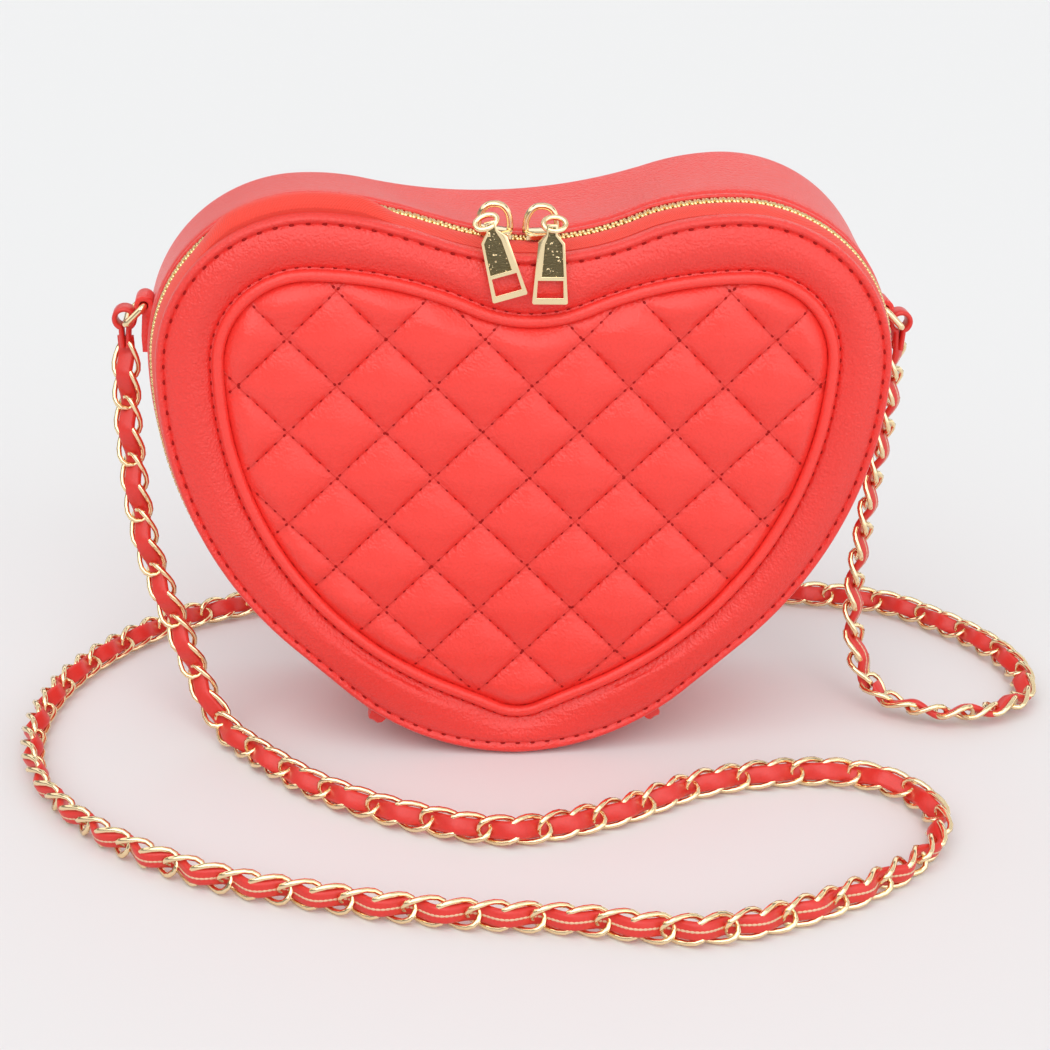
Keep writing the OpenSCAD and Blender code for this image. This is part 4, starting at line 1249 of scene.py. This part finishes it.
def flat_plate(name, loops, thickness, bevel, material, matrix):
    """A plate with rounded rims from an outline and its holes, drawn in its own plane."""
    curve = bpy.data.curves.new(name, "CURVE")
    curve.dimensions = "2D"
    curve.fill_mode = "BOTH"
    curve.extrude = thickness / 2 - bevel
    curve.bevel_depth = bevel
    curve.bevel_resolution = 1
    curve.offset = -bevel
    for loop in loops:
        spline = curve.splines.new("POLY")
        spline.points.add(len(loop) - 1)
        for point, (x, y) in zip(spline.points, loop):
            point.co = (x, y, 0, 1)
        spline.use_cyclic_u = True
    made = add_object(name, curve)
    graph = bpy.context.evaluated_depsgraph_get()
    mesh = bpy.data.meshes.new_from_object(made.evaluated_get(graph))
    bpy.data.objects.remove(made)
    mesh.transform(matrix)
    shape = bmesh.new()
    shape.from_mesh(mesh)
    bmesh.ops.remove_doubles(shape, verts=shape.verts, dist=0.01)
    bmesh.ops.recalc_face_normals(shape, faces=shape.faces)
    bmesh.ops.scale(shape, vec=(MM, MM, MM), verts=shape.verts)
    shape.to_mesh(mesh)
    shape.free()
    mesh.materials.clear()
    mesh.materials.append(material)
    mesh.shade_smooth()
    mesh.set_sharp_from_angle(angle=math.radians(30))
    return add_object(name, mesh)


def wire_ring(name, line, side, radius, material, closed=True, flat=1.0):
    """A bent wire along a line in one plane, whose normal is side."""
    line = np.asarray(line, float)
    around = np.roll(line, -1, 0) - np.roll(line, 1, 0) if closed else np.gradient(line, axis=0)
    heading = unit(around)
    wide = np.tile(np.asarray(side, float), (len(line), 1))
    section = [(flat * radius * math.cos(a), radius * math.sin(a)) for a in round_angles(10)]
    sections = swept(line, wide, unit(np.cross(wide, heading)), section)
    return section_piece(name, sections, material, 180, closed)


class PURSE_OT_sliders(PurseStep, bpy.types.Operator):
    """Builds the two sliders with their round bails, and the flat pulls on their loops"""

    bl_idname = "purse.sliders"
    bl_label = "Sliders and pulls"

    def execute(self, context):
        for side, x, tilt, sign, beside in SLIDERS:
            bar = Vector((x + beside, SLIDER_Y, self.slider(side, x)))
            self.pull(side, bar, math.radians(tilt), sign)
        return {"FINISHED"}

    def slider(self, side, x):
        """Two plates, the lip and the post under the upper one, and the bail; gives the bar's z."""
        middle = math.asin(x / DIP_R)
        rise = float(zip_rise(x, DIP_Z))

        def on_dip(s, g, t):
            a = middle + s / DIP_R
            r = DIP_R - g
            return (r * math.sin(a), FRONT_Y + t, DIP_Z - r * math.cos(a) + rise)

        parts = []
        for g0, g1, crown in ((2.1, 2.9, 0.45), (-2.3, -1.3, 0)):
            rows = []
            for s in (-4.8, -4.6, -3.9, -2, 0, 2, 3.9, 4.6, 4.8):
                w = 4 * (1 - abs(s / 5.2) ** 4) ** 0.5
                rows.append([on_dip(s, g, 12 + t * w) for t, g in (
                    (-1, g0), (-1, g1 - 0.25), (-0.8, g1 + crown * 0.5), (-0.4, g1 + crown),
                    (0.4, g1 + crown), (0.8, g1 + crown * 0.5), (1, g1 - 0.25), (1, g0))])
            parts.append(np.array(rows))
        for s0, t0, t1, low, high in ((4.5, 8.0, 8.6, 1.35, 2.5), (1.5, 11.75, 12.25, -1.5, 2.3)):
            parts.append(np.array([[on_dip(s, low, t0), on_dip(s, high, t0), on_dip(s, high, t1),
                                    on_dip(s, low, t1)] for s in np.linspace(-s0, s0, 9)]))
        made = [section_piece(f"{side}_slider_{k}", rows, gold_metal(), 50)
                for k, rows in enumerate(parts)]
        plate_z = DIP_Z - (DIP_R - PLATE_G) * math.cos(middle)
        bar_z = plate_z + BAR_H
        plate_z += rise
        a = np.linspace(-0.18, math.pi + 0.18, 25)
        half_width, foot = 4.5, 0.6
        arch = np.column_stack([x + half_width * np.sign(np.cos(a)) * np.abs(np.cos(a)) ** 0.8,
                                np.full(len(a), SLIDER_Y),
                                plate_z + foot + (BAIL_H - foot) * np.sin(a)])
        made.append(wire_ring(f"{side}_bail", arch, (0, 1, 0), 0.95, gold_metal(),
                              closed=False, flat=1.25))
        body = merge(*made)
        body.name = f"{side}_slider_body"
        finish_piece(body, f"{side}_slider", "gold_metal", f"{side}_slider")
        return bar_z

    def pull(self, side, bar, tilt, sign):
        """A blade with raised rims, a sunken face and a window, on a wire loop round the bail."""
        place = (Matrix.Translation(bar) @ Matrix.Rotation(tilt, 4, "Y")
                 @ Matrix.Translation(BLADE_OFFSET)
                 @ Matrix.Rotation(math.pi / 2 - BLADE_LEAN, 4, "X"))
        # X runs across the blade and Y up it, and Z looks forward
        outline = [(-1.5, 4.2), (1.5, 4.2), (1.55, 1.4), (3.7, -1.0), (5.0, -17.6), (4.6, -18),
                   (-4.6, -18), (-5.0, -17.6), (-3.7, -1.0), (-1.55, 1.4)]
        window = [(-3.5, -11.4), (-3.7, -16.2), (3.7, -16.2), (3.5, -11.4)]
        thin, broad = 0.75, 1.9
        left, right = (thin, broad) if sign < 0 else (broad, thin)
        face = [(-0.9, 3.4), (0.9, 3.4), (0.95, 1.1), (3.7 - right, -1.4), (4.35 - right, -10.3),
                (left - 4.35, -10.3), (left - 3.7, -1.4), (-0.95, 1.1)]
        back = flat_plate(f"{side}_pull_blade", [outline, window], 1.0, 0.12, gold_metal(),
                          place @ Matrix.Translation((0, 0, -0.2)))
        # The rims' paler gold is a painted highlight on their bevels
        rim = flat_plate(f"{side}_pull_rim", [outline, window, face], 0.7, 0.14, rim_highlight_metal(),
                         place @ Matrix.Translation((0, 0, 0.45)))
        inset = [(x * 1.02, y) for x, y in face]
        sunk = flat_plate(f"{side}_pull_face", [inset], 0.3, 0.03, dark_face(),
                          place @ Matrix.Translation((0, 0, 0.32)))
        across = (Matrix.Rotation(tilt, 3, "Y") @ Vector((1, 0, 0))).normalized()
        up = Vector((0, 0.72, 0.69)).normalized()
        middle = place @ Vector((sign * 0.9, 3.9, 0)) + Vector((0, 1.2, 0))
        loop = [middle + up * 2.2 * math.cos(a) + across * 3.1 * math.sin(a)
                for a in round_angles(28)]
        normal = across.cross(up).normalized()
        ring = wire_ring(f"{side}_pull_loop", [tuple(p) for p in loop], tuple(normal), 0.8,
                         gold_metal())
        blade = merge(back, rim, ring)
        for made in (blade, sunk):
            finish_piece(made, f"{side}_pull", "gold_metal")
        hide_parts(f"{side}_pull")


class PURSE_OT_wall(PurseStep, bpy.types.Operator):
    """Lofts the wall behind the zip, from its turned edge to the back"""

    bl_idname = "purse.wall"
    bl_label = "Side wall"

    def execute(self, context):
        # Growth over the outline, and depth
        profile = (
            (0.75, 15.6), (0.7, 14.4), (0.95, 14.05), (1.4, 13.95), (1.75, 14.25), (1.85, 15.1),
            (1.8, 15.9), (1.45, 16.5), (1.5, 16.9), (2.0, 17.5), (2.25, 18.6), (2.2, 24), (2.1, 31),
            (2.05, 38), (2.1, 45), (2.2, 52), (2.3, 57), (2.25, 59.2), (1.9, 60.5), (1.0, 61.0),
            (-3.5, 61.0), (-3.5, 60.3), (0.8, 60.3), (0.8, 50), (0.8, 40), (0.8, 30), (0.8, 20),
        )
        rows = [at_depth(g, t) for g, t in profile]
        wall = loft_piece("side_wall", rows, smooth_leather(), ROUND_TOP, smooth=70)
        finish_piece(wall, "bag_body", "red_leather", "rear_gusset")
        return {"FINISHED"}


class PURSE_OT_bottom(PurseStep, bpy.types.Operator):
    """Folds the bottom leather between the front and the back"""

    bl_idname = "purse.bottom"
    bl_label = "Bottom"

    def execute(self, context):
        outer = [(0.6, t) for t in (5.05, 7, 9, 11, 13, 15, 18, 22, 28, 36, 44, 52, 58, 61)]
        inner = [(-0.8, t) for _, t in outer[::-1]]
        rows = [at_depth(g, t) for g, t in outer + inner]
        bottom = loft_piece("bottom_leather", rows, smooth_leather(), BOTTOM, smooth=70)
        finish_piece(bottom, None, "red_leather", "bottom_gusset")
        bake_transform(bottom)
        for side, sign in (("left", -1), ("right", 1)):
            self.end_tab(side, sign)
        return {"FINISHED"}

    def end_tab(self, side, sign):
        """Leather folded over the zip's end, which stands out under the bag."""
        base, out = next((p * (sign, 1), o * (sign, 1)) for p, o in zip(*BAG_LINE)
                         if p[1] < BAG[1] / 2 and 0 < p[0] < 40.6)
        along = np.array([out[1], -out[0]])
        rows = []
        swells = ((-4.6, 0.5), (-4.0, 0.85), (-2.6, 1), (0, 0.95),
                  (2.6, 1), (4.0, 0.85), (4.6, 0.5))
        for s, swell in swells:
            ring = [(0.5, 6.6), (3.6 * swell, 6.2), (4.5 * swell, 7.2), (4.6 * swell, 9.5),
                    (4.2 * swell, 12), (3.0 * swell, 14.8), (0.5, 16)]
            rows.append([(*(base + out * g + along * s * 0.55), t) for g, t in ring])
        sections = [[(x, FRONT_Y + t, max(z + LIFT, 0)) for x, z, t in ring] for ring in rows]
        tab = section_piece(f"{side}_end_tab", sections, smooth_leather(), 60)
        finish_piece(tab, "bag_body", "red_leather", f"{side}_zip_end_tab")


class PURSE_OT_back(PurseStep, bpy.types.Operator):
    """Covers the back in leather with its turned edge"""

    bl_idname = "purse.back"
    bl_label = "Back"

    def execute(self, context):
        # Growth over the back's outline, and depth
        profile = (
            (-4, 61.05), (-1, 61.05), (-0.2, 61.4), (0.1, 62.3), (0.05, 64), (-0.3, 65.2),
            (-0.9, 65.8), (-1.7, 66.05), (-2.5, 66.0), (-3.0, 65.65), (-3.5, 66.0), (-5, 66.15),
            (-9, 66.3), (-16, 66.35), (-26, 66.4), (-38, 66.4),
        )
        rows = [placed(rear_outline(g), t) for g, t in profile]
        back = plate_piece("back_leather", rows, smooth_leather(), smooth=70)
        finish_piece(back, "bag_body", "red_leather", "back_edge_roll", "back_panel")
        bead = bead_item()
        seam = looped(placed(rear_outline(-3.0), 65.8))
        # Dark beads, partly thread and partly painted shade in the stitch holes
        row = repeat("back_stitches", [(seam, (0, 1, 0))], bead, sizes().stitch / MM,
                     (3.5, 0.7, 0.5), thread_and_hole_shade())
        drop(bead)
        finish_piece(row, "bag_body", "red_leather")
        return {"FINISHED"}


class PURSE_OT_inside(PurseStep, bpy.types.Operator):
    """Lines and stiffens the inside to the turned shape of the back"""

    bl_idname = "purse.inside"
    bl_label = "Inside"

    def execute(self, context):
        walls = (
            ("gusset_board", -0.15, 0.75, 17.0, 60.2, ROUND_TOP, board_fibre(), "stiff_board"),
            ("gusset_lining", -0.8, -0.2, 16.9, 60.3, ROUND_TOP, lining_cloth(), "red_lining"),
            ("bottom_board", -1.75, -0.85, 17.0, 60.2, BOTTOM, board_fibre(), "stiff_board"),
            ("bottom_lining", -2.4, -1.8, 16.9, 60.3, BOTTOM, lining_cloth(), "red_lining"),
        )
        for node, g0, g1, t0, t1, path, material, slot in walls:
            ts = np.linspace(t0, t1, 8)
            rows = [at_depth(g1, t) for t in ts] + [at_depth(g0, t) for t in ts[::-1]]
            finish_piece(loft_piece(f"{node}_layer", rows, material, path), "bag_body", slot, node)
        plates = (
            ("back_lining", -4.2, 60.45, 61.0, lining_cloth(), "red_lining"),
            ("back_board", -4.3, 61.1, 64.0, board_fibre(), "stiff_board"),
        )
        for node, g, t0, t1, material, slot in plates:
            rows = [placed(rear_outline(g), t) for t in (t0, t1)]
            finish_piece(plate_piece(f"{node}_layer", rows, material), "bag_body", slot, node)
        return {"FINISHED"}


class PURSE_OT_rings(PurseStep, bpy.types.Operator):
    """Finishes the strap's rings and the tabs that hold them"""

    bl_idname = "purse.rings"
    bl_label = "Rings"

    def execute(self, context):
        for side in ("left", "right"):
            dress(f"{side}_ring", gold_metal())
            dress(f"{side}_ring_tab", smooth_leather(), 0.0003)
            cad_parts[f"{side}_ring"].data.shade_smooth()
        return {"FINISHED"}


class PURSE_PT_build(bpy.types.Panel):
    """Lists the purse's pieces in the order in which they are made."""

    bl_idname = "PURSE_PT_build"
    bl_label = "Heart Shaped Purse"
    bl_space_type = "VIEW_3D"
    bl_region_type = "UI"
    bl_category = "Purse"

    def draw(self, context):
        for group in (context.scene.purse_sizes, context.scene.purse_colours):
            for name in group.__annotations__:
                self.layout.prop(group, name)
        for step in STEPS:
            self.layout.operator(step.bl_idname)


STEPS = (PURSE_OT_stage, PURSE_OT_strap, PURSE_OT_front, PURSE_OT_quilt, PURSE_OT_stitches,
         PURSE_OT_zip, PURSE_OT_sliders, PURSE_OT_wall, PURSE_OT_bottom, PURSE_OT_back,
         PURSE_OT_inside, PURSE_OT_rings)
CLASSES = (PurseSizes, PurseColours, *STEPS, PURSE_PT_build)


def register():
    for made in CLASSES:
        bpy.utils.register_class(made)
    bpy.types.Scene.purse_sizes = PointerProperty(type=PurseSizes)
    bpy.types.Scene.purse_colours = PointerProperty(type=PurseColours)


def unregister():
    del bpy.types.Scene.purse_colours
    del bpy.types.Scene.purse_sizes
    for made in reversed(CLASSES):
        bpy.utils.unregister_class(made)


def main():
    register()
    for step in STEPS:
        group, name = step.bl_idname.split(".")
        getattr(getattr(bpy.ops, group), name)()


if __name__ == "__main__":
    main()
